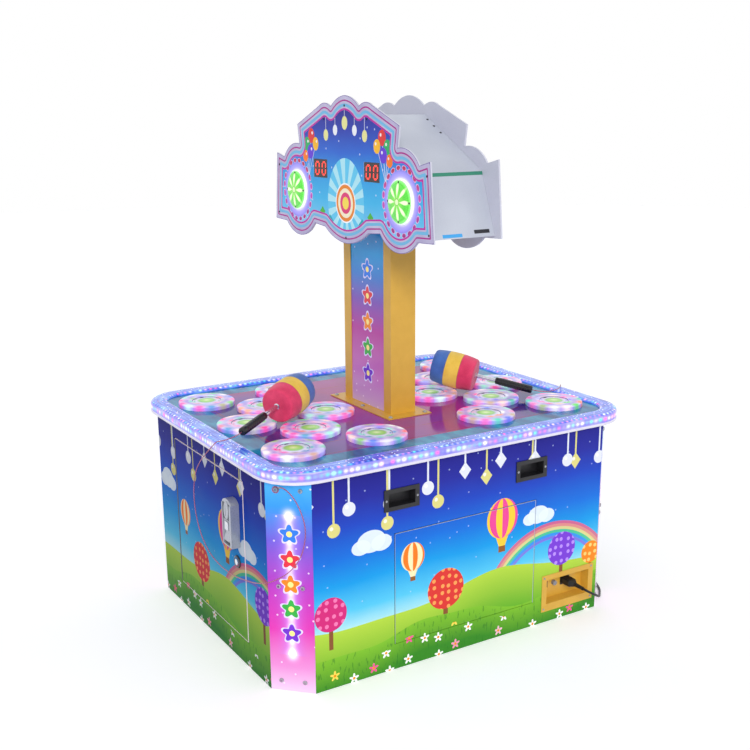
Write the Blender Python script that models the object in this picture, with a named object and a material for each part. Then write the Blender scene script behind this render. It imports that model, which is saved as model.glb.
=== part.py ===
# Two-player mole pounding machine: a chamfered cabinet with a lit table, sixteen round targets,
# a post with a header between the players, a coin door at the front end and a mallet on a cable for
# each player.
# Units are metres, +Z is up, +X is the long side with the mains inlet, -Y is the front player's end.
# The origin is on the floor under the middle of the cabinet.
# Where two pieces touch, a small fit gap lies between them.

import math

import bmesh
import bpy
from mathutils import Matrix, Vector

# Fit between pieces that touch, and the angle past which an edge stays sharp in the shading
GAP = 0.0003
SHARP_ANGLE = math.radians(40.0)

# Cabinet of printed boards on a timber frame
BODY_HALF_X = 0.443
BODY_HALF_Y = 0.550
BODY_CHAMFER = 0.084
BODY_HEIGHT = 0.5624
PANEL_WALL = 0.015
BASE_WALL = 0.018
POST_LAP = 0.030
RAIL_WIDTH = 0.030
RAIL_HEIGHT = 0.026
JOINT_DEPTH = 0.004
LIGHT_PANEL_WALL = 0.005
LIGHT_CAVITY = 0.015

# Table with its lip, its lit rim and the playfield
LIP_OVERHANG = 0.018
LIP_RADIUS = 0.120
LIP_HEIGHT = 0.0075
LEDGE_WIDTH = 0.0035
RIM_WIDTH = 0.050
RIM_HEIGHT = 0.0235
RIM_WALL = 0.004
RIM_ROUNDING = 0.008
CORNER_STEPS = 7
PLAYFIELD_WALL = 0.0162

# Round targets in rows of three, two and three at each end
COLUMN_PITCH_SHARE = 0.67755
ROW_SHARES = (0.82896, 0.58892, 0.34888)
BUTTON_RADIUS_SHARE = 0.15938
BUTTON_RISE = 0.013
BUTTON_DEPTH = 0.0245
BUTTON_CLEARANCE = 0.0005
BUTTON_ROUNDING = 0.0035
LENS_RADIUS = 0.041
LENS_BEVEL = 0.0025
BUTTON_SIDES = 24
TARGET_BOARD_WALL = 0.004
SWITCH_LENGTH = 0.028
SWITCH_WIDTH = 0.016
SWITCH_HEIGHT = 0.016

# Post with a window on each face and the light box inside it
POST_HALF_X = 0.127
POST_HALF_Y = 0.0405
POST_SHEET = 0.002
POST_STRIP = 0.0375
POST_SILL = 0.0015
POST_HEAD_BAND = 0.080
LIGHT_BOX_WALL = 0.003
POST_FOOT_HALF_X = 0.165
POST_FOOT_HALF_Y = 0.071
POST_FOOT_WALL = 0.0025
ARM_WIDTH = 0.025
ARM_HEIGHT = 0.025
ARM_LEVEL_SHARES = (0.325, 0.679)

# Header boards, cut to one outline, and the folded cover between them.
# Shares are of the header's half width and of its height, from its lowest point.
HEADER_LOW = 1.0620
HEADER_HALF_WIDTH = 0.4262
HEADER_HEIGHT = 0.3946
HEADER_HALF_Y = 0.1055
HEADER_BOARD_WALL = 0.005
CROWN_TOP_SHARES = (0.0, 1.0)
CROWN_SIDE_SHARES = (0.0925, 0.9800)
CROWN_VALLEY_SHARES = (0.1771, 0.9275)
SHOULDER_TOP_SHARES = (0.2628, 0.9534)
SHOULDER_END_SHARES = (0.3332, 0.9326)
SHOULDER_CORNER_SHARES = (0.6394, 0.8059)
NECK_CORNER_SHARES = (0.6182, 0.6678)
WING_TOP_SHARES = (0.7508, 0.6513)
WING_NOTCH_SHARES = (0.8489, 0.5664)
WING_TIP_SHARES = (0.9573, 0.5943)
SIDE_CORNER_SHARES = (1.0, 0.0976)
LOBE_OUTER_SHARES = (0.8329, 0.0900)
LOBE_LOW_SHARES = (0.6382, 0.0013)
LOBE_INNER_SHARES = (0.4176, 0.1064)
WAVE_CORNER_SHARES = (0.2769, 0.0933)
WAVE_SIDE_SHARES = (0.1420, 0.0245)
WAVE_LOW_SHARES = (0.0, 0.0)
COVER_TOP_SHARES = (0.1947, 0.8705)
COVER_FOLD_SHARES = (0.8010, 0.5177)
COVER_FOOT_SHARES = (0.9425, 0.1128)
CROWN_STEPS = 5
SHOULDER_STEPS = 6
LOBE_STEPS = 10
COVER_SHEET = 0.0015
DISPLAY_SHARES = (0.3250, 0.5030)
DISPLAY_WIDTH = 0.0785
DISPLAY_HEIGHT = 0.0510
DISPLAY_SETBACK = 0.0005
DISPLAY_BOARD_WALL = 0.004
DISPLAY_BOARD_MARGIN = 0.006
LAMP_SHARES = (0.6570, 0.3333)
LAMP_RADIUS = 0.0575
LAMP_EDGE = 0.004
LAMP_DOME = 0.0135
LAMP_BEND_SHARES = ((0.85, 0.74), (0.50, 0.94))
LAMP_SIDES = 20

# Coin door in the front player's end
DOOR_OPENING_HALF = 0.2325
DOOR_OPENING_LOW = 0.0685
DOOR_TOP_INSET = 0.0439
DOOR_GAP = 0.003
HINGE_RADIUS = 0.0012
HINGE_MARGIN = 0.006
HINGE_SIDES = 8
MECH_SIDE_INSET = 0.0565
MECH_TOP_INSET = 0.1235
MECH_WIDTH = 0.055
MECH_HEIGHT = 0.130
MECH_DEPTH = 0.022
MECH_CROWN = 0.012
MECH_MARGIN = 0.0025
CHUTE_DEPTH = 0.032
ENTRY_WIDTH = 0.026
ENTRY_HEIGHT = 0.050
ENTRY_LIFT = 0.0335
ENTRY_PROUD = 0.004
ENTRY_SIDES = 12
CROWN_ARC_STEPS = 8
COIN_SLOT_WIDTH = 0.003
COIN_SLOT_HEIGHT = 0.030
COIN_SLOT_DEPTH = 0.016
REJECT_WIDTH = 0.020
REJECT_HEIGHT = 0.022
REJECT_DROP = 0.0085
REJECT_PROUD = 0.003
REJECT_LENGTH = 0.030
REJECT_TRAVEL = 0.004
SLIDE_CLEARANCE = 0.0005
CUP_WIDTH = 0.038
CUP_HEIGHT = 0.034
CUP_DROP = 0.0430
CUP_BACK = 0.004
LOCK_SIDE_INSET = 0.0485
LOCK_DROP = 0.1110
LOCK_RING_RADIUS = 0.0165
LOCK_RING_WALL = 0.004
LOCK_PLUG_RADIUS = 0.0085
LOCK_PLUG_PROUD = 0.0015
LOCK_PLUG_TAIL = 0.007
LOCK_CAM_WALL = 0.002
LOCK_CAM_WIDTH = 0.014
LOCK_CAM_CATCH = 0.008
LOCK_SIDES = 16

# Finger cups in both long sides, a pair on one backing strip
HANDLE_PLACE_Y = 0.210
HANDLE_DROP = 0.0894
HANDLE_WIDTH = 0.106
HANDLE_HEIGHT = 0.058
HANDLE_FLANGE = 0.003
HANDLE_CUP_WIDTH = 0.080
HANDLE_CUP_HEIGHT = 0.036
HANDLE_CUP_DEPTH = 0.030
HANDLE_CUP_WALL = 0.002
HANDLE_STRIP_HEIGHT = 0.024
HANDLE_STRIP_WALL = 0.010

# Access hatch in the long side
HATCH_POWER_GAP = 0.0320
HATCH_LOW = 0.0730
HATCH_TOP_INSET = 0.1824
HATCH_GAP = 0.0015
CLEAT_WIDTH = 0.030
CLEAT_WALL = 0.015

# Recessed mains box, with the switch, the fuse and the inlet on one module plate
POWER_INSET = 0.014
POWER_LENGTH = 0.190
POWER_LOW = 0.033
POWER_HEIGHT = 0.111
POWER_SHEET = 0.0015
POWER_BORDER_Y = 0.017
POWER_BORDER_LOW = 0.0225
POWER_BORDER_HIGH = 0.016
POWER_RECESS = 0.030
POWER_TAPER = 0.002
MODULE_WALL = 0.0015
MODULE_MARGIN = 0.002
SWITCH_INSET = 0.0135
SWITCH_RISE = 0.0530
SWITCH_FRAME_WIDTH = 0.0165
SWITCH_FRAME_HEIGHT = 0.0290
SWITCH_FRAME_WALL = 0.0060
ROCKER_WIDTH = 0.0115
ROCKER_HALF_HEIGHT = 0.0108
ROCKER_PROUD = 0.0042
ROCKER_WAIST = 0.0016
ROCKER_DROP = 0.0020
ROCKER_HEEL_SHARE = 0.70
ROCKER_TILT = math.radians(8.0)
ROCKER_CLEARANCE = 0.0008
FUSE_STEP = 0.0335
FUSE_DROP = 0.0060
FUSE_RADIUS = 0.0070
FUSE_PROUD = 0.010
INLET_STEP = 0.0420
INLET_DROP = 0.0065
INLET_WIDTH = 0.032
INLET_HEIGHT = 0.026
INLET_PROUD = 0.004

# Mains lead
CONNECTOR_WIDTH = 0.027
CONNECTOR_HEIGHT = 0.020
CONNECTOR_BODY = 0.030
CONNECTOR_TAPER = 0.014
CONNECTOR_BOOT = 0.034
BOOT_RADIUS = 0.0058
BOOT_TIP_RADIUS = 0.0046
ROUND_CUT_SHARE = 0.5858
CORNER_CUT_SHARE = 0.25
CORD_DIAMETER = 0.007
CORD_STEPS_A_POINT = 2.4
COIL_SIDE_INSET = 0.323
COIL_BEHIND = 0.105
COIL_OUTER = 0.048
COIL_PITCH = 0.0078
COIL_LAYER = 0.0078
COIL_TURNS_A_LAYER = 3
COIL_POINTS_A_TURN = 24
COIL_FLARE = 0.010
COIL_END = 0.009
COIL_RESOLUTION = 1
PLUG_WIDTH = 0.024
PLUG_HEIGHT = 0.020
PLUG_BODY = 0.034
PLUG_SHOULDER = 0.012
PLUG_BOOT = 0.020
BLADE_LENGTH = 0.017
BLADE_HEIGHT = 0.0063
BLADE_WALL = 0.0015
BLADE_SPACING = 0.0127
BLADE_LIFT = 0.0028
EARTH_RADIUS = 0.0024
EARTH_DROP = 0.0055

# Mallets: a foam barrel on a steel rod with a rubber grip.
# Place shares are of the table's half width and half length inside the rim, from its middle.
MALLET_HEAD_LENGTH = 0.130
MALLET_END_RADIUS = 0.0475
MALLET_SWELL = 0.0065
MALLET_EDGE = 0.003
MALLET_REACH = 0.241
MALLET_ROD_RADIUS = 0.006
MALLET_CAP_RADIUS = 0.013
MALLET_CAP_HEIGHT = 0.004
MALLET_GRIP_LENGTH = 0.113
MALLET_GRIP_RADIUS = 0.0112
MALLET_GRIP_ROUNDING = 0.003
MALLET_SIDES = 24
MALLET_STEP_SHARES = (-0.62, -0.21, 0.21, 0.62)
MALLET_PLACE_SHARES = {"front": (0.05251, -0.59437), "rear": (0.01863, 0.51273)}
MALLET_FRONT_LIFT = 0.0559
MALLET_REAR_LIFT = 0.0564
MALLET_HEADINGS = {"front": math.radians(-58.2), "rear": math.radians(40.1)}
MALLET_TILTS = {"front": math.radians(8.43), "rear": math.radians(10.56)}
TETHER_DIAMETER = 0.0025
TETHER_STEPS_A_POINT = 10.0
TUBE_RESOLUTION = 2

# Bolts that hold the light panels and the post's foot
BOLT_RADIUS = 0.0055
BOLT_HEIGHT = 0.0030
BOLT_SIDES = 8
LIGHT_PANEL_BOLT_REACH = 0.031
LIGHT_PANEL_BOLT_SHARES = (0.048, 0.507, 0.9566)
FOOT_BOLT_MARGIN = 0.014

# Heights and places that follow from the sizes above
LIP_TOP = BODY_HEIGHT + GAP + LIP_HEIGHT
RIM_BASE = LIP_TOP + GAP
RIM_TOP = RIM_BASE + RIM_HEIGHT
PLAYFIELD_BASE = LIP_TOP + GAP
PLAYFIELD_TOP = PLAYFIELD_BASE + PLAYFIELD_WALL
BUTTON_TOP = PLAYFIELD_TOP + BUTTON_RISE
LIP_HALF_X = BODY_HALF_X + LIP_OVERHANG
LIP_HALF_Y = BODY_HALF_Y + LIP_OVERHANG
TABLE_INNER_X = LIP_HALF_X - LEDGE_WIDTH - RIM_WIDTH
TABLE_INNER_Y = LIP_HALF_Y - LEDGE_WIDTH - RIM_WIDTH
COLUMN_PITCH = TABLE_INNER_X * COLUMN_PITCH_SHARE
BUTTON_RADIUS = TABLE_INNER_Y * BUTTON_RADIUS_SHARE
POST_FOOT_TOP = PLAYFIELD_TOP + GAP + POST_FOOT_WALL
INNER_X = BODY_HALF_X - PANEL_WALL - GAP
INNER_Y = BODY_HALF_Y - PANEL_WALL - GAP
DOOR_OPENING_HIGH = BODY_HEIGHT - DOOR_TOP_INSET
MECH_PLACE = (DOOR_OPENING_HALF - MECH_SIDE_INSET, DOOR_OPENING_HIGH - MECH_TOP_INSET)
LOCK_PLACE = (DOOR_OPENING_HALF - LOCK_SIDE_INSET, MECH_PLACE[1] - LOCK_DROP)
HATCH_HIGH = BODY_HEIGHT - HATCH_TOP_INSET
HANDLE_PLACE_Z = BODY_HEIGHT - HANDLE_DROP
POWER_HIGH_Y = BODY_HALF_Y - BODY_CHAMFER - POWER_INSET
POWER_LOW_Y = POWER_HIGH_Y - POWER_LENGTH
HATCH_HALF_Y = POWER_LOW_Y - HATCH_POWER_GAP
POWER_HIGH = POWER_LOW + POWER_HEIGHT
RECESS_FLOOR = BODY_HALF_X + GAP + POWER_SHEET - POWER_RECESS
SWITCH_PLACE = (POWER_LOW_Y + POWER_BORDER_Y + SWITCH_INSET, POWER_LOW + POWER_BORDER_LOW + SWITCH_RISE)
FUSE_PLACE = (SWITCH_PLACE[0] + FUSE_STEP, SWITCH_PLACE[1] - FUSE_DROP)
INLET_PLACE = (FUSE_PLACE[0] + INLET_STEP, SWITCH_PLACE[1] - INLET_DROP)
DIAGONAL = math.sqrt(0.5)

COLOURS = {
    "print": ((0.13, 0.36, 0.78), 0.35, 0.0),
    "frame timber": ((0.55, 0.40, 0.24), 0.8, 0.0),
    "light print": ((0.80, 0.14, 0.60), 0.2, 0.0),
    "table": ((0.86, 0.85, 0.92), 0.35, 0.0),
    "rim": ((0.35, 0.36, 0.90), 0.2, 0.0),
    "playfield": ((0.05, 0.16, 0.35), 0.12, 0.0),
    "target": ((0.88, 0.80, 0.95), 0.25, 0.0),
    "circuit board": ((0.06, 0.25, 0.12), 0.6, 0.0),
    "yellow paint": ((0.72, 0.43, 0.06), 0.35, 0.0),
    "header print": ((0.52, 0.47, 0.68), 0.3, 0.0),
    "cover sheet": ((0.62, 0.62, 0.67), 0.5, 0.0),
    "display": ((0.35, 0.01, 0.02), 0.2, 0.0),
    "lamp": ((0.30, 0.80, 0.25), 0.15, 0.0),
    "chrome": ((0.80, 0.80, 0.82), 0.1, 1.0),
    "black plastic": ((0.015, 0.015, 0.018), 0.45, 0.0),
    "red plastic": ((0.60, 0.02, 0.02), 0.3, 0.0),
    "black rubber": ((0.012, 0.012, 0.014), 0.6, 0.0),
    "foam": ((0.66, 0.05, 0.10), 0.7, 0.0),
    "tether": ((0.20, 0.05, 0.09), 0.35, 0.0),
}


def clear_scene():
    """Remove every object, so that the script gives the same model in any file."""
    for item in list(bpy.data.objects):
        bpy.data.objects.remove(item, do_unlink=True)


def material(name):
    """Principled material with the named colour, roughness and metallic value."""
    found = bpy.data.materials.get(name)
    if found:
        return found
    colour, roughness, metallic = COLOURS[name]
    made = bpy.data.materials.new(name)
    made.use_nodes = True
    shader = made.node_tree.nodes["Principled BSDF"]
    shader.inputs["Base Color"].default_value = (*colour, 1.0)
    shader.inputs["Roughness"].default_value = roughness
    shader.inputs["Metallic"].default_value = metallic
    return made


def to_mesh(name, bm, origin=(0.0, 0.0, 0.0)):
    """Mesh from a bmesh, with its faces outward and its coordinates about an origin."""
    bmesh.ops.recalc_face_normals(bm, faces=bm.faces)
    bmesh.ops.translate(bm, vec=-Vector(origin), verts=bm.verts)
    mesh = bpy.data.meshes.new(name)
    bm.to_mesh(mesh)
    bm.free()
    return mesh


def link(name, mesh, frame):
    """Object in the scene at a frame."""
    item = bpy.data.objects.new(name, mesh)
    item.matrix_world = frame
    bpy.context.collection.objects.link(item)
    return item


def finish(name, bm, finish_name, origin=(0.0, 0.0, 0.0), smooth=False, turn=None):
    """Turn a bmesh in world coordinates into a named object with its origin at a point."""
    mesh = to_mesh(name, bm, origin)
    mesh.materials.append(material(finish_name))
    if smooth:
        mesh.shade_smooth()
        mesh.set_sharp_from_angle(angle=SHARP_ANGLE)
    frame = Matrix.Translation(Vector(origin))
    return link(name, mesh, frame if turn is None else turn @ frame)


def combine(item, bm, operation, name):
    """Join a shape to an object, or cut it out, with a hidden guide that stays editable."""
    guide = link(f"{item.name} {name}", to_mesh(name, bm), Matrix.Identity(4))
    guide.hide_render = True
    guide.display_type = "WIRE"
    step = item.modifiers.new(name, "BOOLEAN")
    step.operation = operation
    step.solver = "EXACT"
    step.object = guide


def carry(child, parent):
    """Parent a piece to the piece that carries it, and leave it where it is."""
    child.parent = parent
    child.matrix_parent_inverse = parent.matrix_world.inverted()


def spread(axis, point, level):
    """Place a 2-D point on the plane square to an axis, at a level along it."""
    u, v = point
    return {"X": Vector((level, u, v)), "Y": Vector((u, level, v)), "Z": Vector((u, v, level))}[axis]


def loft(bm, loops, closed=False):
    """Skin loops of equal length in turn, and cap both ends unless the skin closes on itself."""
    rings = [[bm.verts.new(point) for point in loop] for loop in loops]
    pairs = list(zip(rings, rings[1:]))
    if closed:
        pairs.append((rings[-1], rings[0]))
    for low, high in pairs:
        count = len(low)
        for index in range(count):
            after = (index + 1) % count
            bm.faces.new((low[index], low[after], high[after], high[index]))
    if not closed:
        bm.faces.new(list(reversed(rings[0])))
        bm.faces.new(rings[-1])


def prism(bm, outline, axis, low, high):
    """Extrude a plain outline along an axis."""
    loft(bm, [[spread(axis, point, level) for point in outline] for level in (low, high)])


def box(bm, low, high):
    """Block between two corners."""
    prism(bm, rectangle(low[:2], high[:2]), "Z", low[2], high[2])


def plate(bm, outline, holes, axis, low, high):
    """Extrude an outline with holes in it along an axis."""
    edges = []
    for loop in [outline, *holes]:
        corners = [bm.verts.new(spread(axis, point, low)) for point in loop]
        edges += [bm.edges.new((corners[i - 1], corners[i])) for i in range(len(corners))]
    filled = bmesh.ops.triangle_fill(bm, edges=edges, use_beauty=True, use_dissolve=False)
    faces = [face for face in filled["geom"] if isinstance(face, bmesh.types.BMFace)]
    raised = bmesh.ops.extrude_face_region(bm, geom=faces, use_keep_orig=True)
    moved = [vert for vert in raised["geom"] if isinstance(vert, bmesh.types.BMVert)]
    bmesh.ops.translate(bm, vec=spread(axis, (0.0, 0.0), high - low), verts=moved)


def rectangle(low, high):
    """Corners of a rectangle, anticlockwise."""
    return [(low[0], low[1]), (high[0], low[1]), (high[0], high[1]), (low[0], high[1])]


def centred(place, width, height):
    """Corners of a rectangle about a point."""
    low = (place[0] - width / 2, place[1] - height / 2)
    return rectangle(low, (place[0] + width / 2, place[1] + height / 2))


def grow(outline_low, outline_high, margin):
    """Corners of a rectangle that is larger by a margin on every side."""
    low = (outline_low[0] - margin, outline_low[1] - margin)
    return rectangle(low, (outline_high[0] + margin, outline_high[1] + margin))


def circle(place, radius, sides):
    """Points round a circle."""
    turns = [2 * math.pi * index / sides for index in range(sides)]
    return [(place[0] + radius * math.cos(a), place[1] + radius * math.sin(a)) for a in turns]


def rounded(half_x, half_y, radius, steps=CORNER_STEPS):
    """Rectangle about the origin with round corners."""
    points = []
    corners = ((1, 1), (-1, 1), (-1, -1), (1, -1))
    for number, (side_x, side_y) in enumerate(corners):
        for step in range(steps):
            angle = math.pi / 2 * (number + step / (steps - 1))
            x = side_x * (half_x - radius) + radius * math.cos(angle)
            y = side_y * (half_y - radius) + radius * math.sin(angle)
            points.append((x, y))
    return points


def arc(start, through, end, steps):
    """Points on the circle through three points, without the last one."""
    (ax, ay), (bx, by), (cx, cy) = start, through, end
    cross = 2 * (ax * (by - cy) + bx * (cy - ay) + cx * (ay - by))
    squares = (ax * ax + ay * ay, bx * bx + by * by, cx * cx + cy * cy)
    x = (squares[0] * (by - cy) + squares[1] * (cy - ay) + squares[2] * (ay - by)) / cross
    y = (squares[0] * (cx - bx) + squares[1] * (ax - cx) + squares[2] * (bx - ax)) / cross
    radius = math.hypot(ax - x, ay - y)
    first = math.atan2(ay - y, ax - x)
    middle = (math.atan2(by - y, bx - x) - first) % (2 * math.pi)
    sweep = (math.atan2(cy - y, cx - x) - first) % (2 * math.pi)
    if middle > sweep:
        sweep -= 2 * math.pi
    turns = [first + sweep * step / steps for step in range(steps)]
    return [(x + radius * math.cos(a), y + radius * math.sin(a)) for a in turns]


def turned(bm, profile, sides, frame):
    """Revolve a profile of (radius, height) about a frame's Z; a profile on the axis gets poles."""
    on_axis = profile[0][0] == 0.0
    rings = []
    for radius, height in profile:
        if radius == 0.0:
            rings.append(bm.verts.new(frame @ Vector((0.0, 0.0, height))))
            continue
        ring = [frame @ Vector((x, y, height)) for x, y in circle((0.0, 0.0), radius, sides)]
        rings.append([bm.verts.new(point) for point in ring])
    pairs = list(zip(rings, rings[1:]))
    if not on_axis:
        pairs.append((rings[-1], rings[0]))
    for low, high in pairs:
        for index in range(sides):
            after = (index + 1) % sides
            if not isinstance(low, list):
                bm.faces.new((low, high[after], high[index]))
            elif not isinstance(high, list):
                bm.faces.new((low[index], low[after], high))
            else:
                bm.faces.new((low[index], low[after], high[after], high[index]))


def facing(axis, place):
    """Frame at a place whose Z looks along a direction."""
    turn = Vector(axis).to_track_quat("Z", "Y").to_matrix().to_4x4()
    return Matrix.Translation(Vector(place)) @ turn


def cylinder(bm, frame, radius, low, high, sides):
    """Closed cylinder along a frame's Z."""
    turned(bm, [(0.0, low), (radius, low), (radius, high), (0.0, high)], sides, frame)


CORNER_SIGNS = ((1, -1), (1, 1), (-1, 1), (-1, -1))


# Cabinet


def chamfer_band(side_x, side_y, near, far, clear):
    """Plan of a strip along one chamfer, between two depths behind its face."""
    start_x = BODY_HALF_X - BODY_CHAMFER + clear
    start_y = BODY_HALF_Y - BODY_CHAMFER + clear
    points = [
        (start_x, BODY_HALF_Y - near / DIAGONAL - clear),
        (BODY_HALF_X - near / DIAGONAL - clear, start_y),
        (BODY_HALF_X - far / DIAGONAL - clear, start_y),
        (start_x, BODY_HALF_Y - far / DIAGONAL - clear),
    ]
    return [(side_x * x, side_y * y) for x, y in points]


def post_plan(side_x, side_y):
    """Plan of a corner post, which carries the chamfer and laps behind both panels."""
    depth = (LIGHT_PANEL_WALL + LIGHT_CAVITY) / DIAGONAL
    start_x = BODY_HALF_X - BODY_CHAMFER
    start_y = BODY_HALF_Y - BODY_CHAMFER
    points = [
        (start_x, BODY_HALF_Y - depth),
        (BODY_HALF_X - depth, start_y),
        (INNER_X, start_y),
        (INNER_X, start_y - POST_LAP),
        (INNER_X - POST_LAP, start_y - POST_LAP),
        (start_x - POST_LAP, INNER_Y - POST_LAP),
        (start_x - POST_LAP, INNER_Y),
        (start_x, INNER_Y),
    ]
    return [(side_x * x, side_y * y) for x, y in points]


def make_cabinet_frame():
    """Base board with corner posts, rails under the table, and the hatch's cleats."""
    corner_x = BODY_HALF_X - BODY_CHAMFER
    corner_y = BODY_HALF_Y - BODY_CHAMFER
    base = []
    for side_x, side_y in CORNER_SIGNS:
        run = [(side_x * corner_x, side_y * INNER_Y), (side_x * INNER_X, side_y * corner_y)]
        base += run if side_x * side_y < 0 else run[::-1]
    bm = bmesh.new()
    prism(bm, base, "Z", 0.0, BASE_WALL)
    frame = finish("cabinet_frame", bm, "frame timber")
    posts = bmesh.new()
    for side_x, side_y in CORNER_SIGNS:
        prism(posts, post_plan(side_x, side_y), "Z", BASE_WALL - JOINT_DEPTH, BODY_HEIGHT - GAP)
    combine(frame, posts, "UNION", "posts")
    rails = bmesh.new()
    low, high = BODY_HEIGHT - RAIL_HEIGHT, BODY_HEIGHT - 2 * GAP
    end_x = corner_x - POST_LAP + JOINT_DEPTH
    end_y = corner_y - POST_LAP + JOINT_DEPTH
    for side in (1, -1):
        near, far = sorted((side * (INNER_X - GAP), side * (INNER_X - RAIL_WIDTH)))
        box(rails, (near, -end_y, low), (far, end_y, high))
        near, far = sorted((side * (INNER_Y - GAP), side * (INNER_Y - RAIL_WIDTH)))
        box(rails, (-end_x, near, low), (end_x, far, high))
    combine(frame, rails, "UNION", "rails")
    cleats = bmesh.new()
    for side in (1, -1):
        middle = side * (HATCH_HALF_Y + HATCH_GAP / 2)
        corner = (INNER_X - CLEAT_WALL, middle - CLEAT_WIDTH / 2, BASE_WALL - JOINT_DEPTH)
        box(cleats, corner, (INNER_X - GAP, middle + CLEAT_WIDTH / 2, HATCH_HIGH - CLEAT_WIDTH))
    combine(frame, cleats, "UNION", "cleats")


def handle_holes():
    """Openings in a long side's board for its two finger cups."""
    width = HANDLE_CUP_WIDTH + 2 * (HANDLE_CUP_WALL + GAP)
    height = HANDLE_CUP_HEIGHT + 2 * (HANDLE_CUP_WALL + GAP)
    return [centred((place, HANDLE_PLACE_Z), width, height) for place in (HANDLE_PLACE_Y, -HANDLE_PLACE_Y)]


def power_hole():
    """Opening in the long side's board round the mains box's recess."""
    clear = POWER_SHEET + GAP
    low = (POWER_LOW_Y + POWER_BORDER_Y - clear, POWER_LOW + POWER_BORDER_LOW - clear)
    return rectangle(low, (POWER_HIGH_Y - POWER_BORDER_Y + clear, POWER_HIGH - POWER_BORDER_HIGH + clear))


def make_side_panels():
    """Long boards: the right one has the hatch and the mains box, the left one only finger cups."""
    half = BODY_HALF_Y - BODY_CHAMFER
    outline = rectangle((-half, 0.0), (half, BODY_HEIGHT))
    hatch_low, hatch_high = (-HATCH_HALF_Y, HATCH_LOW), (HATCH_HALF_Y, HATCH_HIGH)
    bm = bmesh.new()
    holes = handle_holes() + [grow(hatch_low, hatch_high, HATCH_GAP), power_hole()]
    plate(bm, outline, holes, "X", BODY_HALF_X - PANEL_WALL, BODY_HALF_X)
    finish("right_panel", bm, "print")
    bm = bmesh.new()
    plate(bm, outline, handle_holes(), "X", -BODY_HALF_X, -BODY_HALF_X + PANEL_WALL)
    finish("left_panel", bm, "print")
    bm = bmesh.new()
    prism(bm, rectangle(hatch_low, hatch_high), "X", BODY_HALF_X - PANEL_WALL, BODY_HALF_X)
    finish("access_panel", bm, "print")


def make_end_panels():
    """Short boards at the players' ends: a frame round the coin door, and a plain one behind."""
    half = BODY_HALF_X - BODY_CHAMFER
    outline = rectangle((-half, 0.0), (half, BODY_HEIGHT))
    door = rectangle((-DOOR_OPENING_HALF, DOOR_OPENING_LOW), (DOOR_OPENING_HALF, DOOR_OPENING_HIGH))
    bm = bmesh.new()
    plate(bm, outline, [door], "Y", -BODY_HALF_Y, -BODY_HALF_Y + PANEL_WALL)
    finish("front_panel", bm, "print")
    bm = bmesh.new()
    prism(bm, outline, "Y", BODY_HALF_Y - PANEL_WALL, BODY_HALF_Y)
    finish("rear_panel", bm, "print")


def chamfer_spot(side_x, side_y, along, level):
    """Point on a chamfer's face, a distance along it from its middle."""
    x = BODY_HALF_X - BODY_CHAMFER / 2 + along * DIAGONAL
    y = BODY_HALF_Y - BODY_CHAMFER / 2 - along * DIAGONAL
    return Vector((side_x * x, side_y * y, level))


def make_light_panels():
    """Printed acrylic sheet over the light in each chamfer, with the six bolts that hold it."""
    for number, (side_x, side_y) in enumerate(CORNER_SIGNS, start=1):
        bm = bmesh.new()
        plan = chamfer_band(side_x, side_y, 0.0, LIGHT_PANEL_WALL, GAP)
        prism(bm, plan, "Z", 0.0, BODY_HEIGHT)
        panel = finish(f"light_panel_{number}", bm, "light print")
        bolts = bmesh.new()
        out = (side_x, side_y, 0.0)
        for share in LIGHT_PANEL_BOLT_SHARES:
            for along in (LIGHT_PANEL_BOLT_REACH, -LIGHT_PANEL_BOLT_REACH):
                spot = chamfer_spot(side_x, side_y, along, BODY_HEIGHT * share)
                cylinder(bolts, facing(out, spot), BOLT_RADIUS, -BOLT_HEIGHT, BOLT_HEIGHT, BOLT_SIDES)
        combine(panel, bolts, "UNION", "bolts")


# Table


def rim_loops(section):
    """Rounded rectangles at the insets and heights of a section."""
    loops = []
    for inset, level in section:
        outline = rounded(LIP_HALF_X - inset, LIP_HALF_Y - inset, LIP_RADIUS - inset)
        loops.append([Vector((x, y, level)) for x, y in outline])
    return loops


def make_table():
    """White lipped board frame, the clear rim channel on it and the glossy playfield inside."""
    opening = RIM_WIDTH + GAP + LEDGE_WIDTH
    under = BODY_HEIGHT + GAP
    bm = bmesh.new()
    section = [(0.0, under), (0.0, LIP_TOP), (opening, LIP_TOP), (opening, under)]
    loft(bm, rim_loops(section), closed=True)
    finish("table_board", bm, "table")
    bm = bmesh.new()
    bend = RIM_ROUNDING * (1 - DIAGONAL)
    section = [
        (0.0, RIM_BASE),
        (0.0, RIM_TOP - RIM_ROUNDING),
        (bend, RIM_TOP - bend),
        (RIM_ROUNDING, RIM_TOP),
        (RIM_WIDTH, RIM_TOP),
        (RIM_WIDTH, RIM_BASE),
        (RIM_WIDTH - RIM_WALL, RIM_BASE),
        (RIM_WIDTH - RIM_WALL, RIM_TOP - RIM_WALL),
        (RIM_ROUNDING, RIM_TOP - RIM_WALL),
        (RIM_WALL, RIM_TOP - RIM_ROUNDING),
        (RIM_WALL, RIM_BASE),
    ]
    loft(bm, rim_loops(section), closed=True)
    finish("rim_channel", bm, "rim", smooth=True)
    bm = bmesh.new()
    inset = RIM_WIDTH + GAP
    outline = rounded(LIP_HALF_X - inset, LIP_HALF_Y - inset, LIP_RADIUS - inset)
    hole = BUTTON_RADIUS + BUTTON_CLEARANCE
    holes = [circle(place, hole, BUTTON_SIDES) for place in button_places()]
    plate(bm, outline, holes, "Z", PLAYFIELD_BASE, PLAYFIELD_TOP)
    finish("playfield_board", bm, "playfield")
    make_target_board(opening + GAP)


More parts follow.
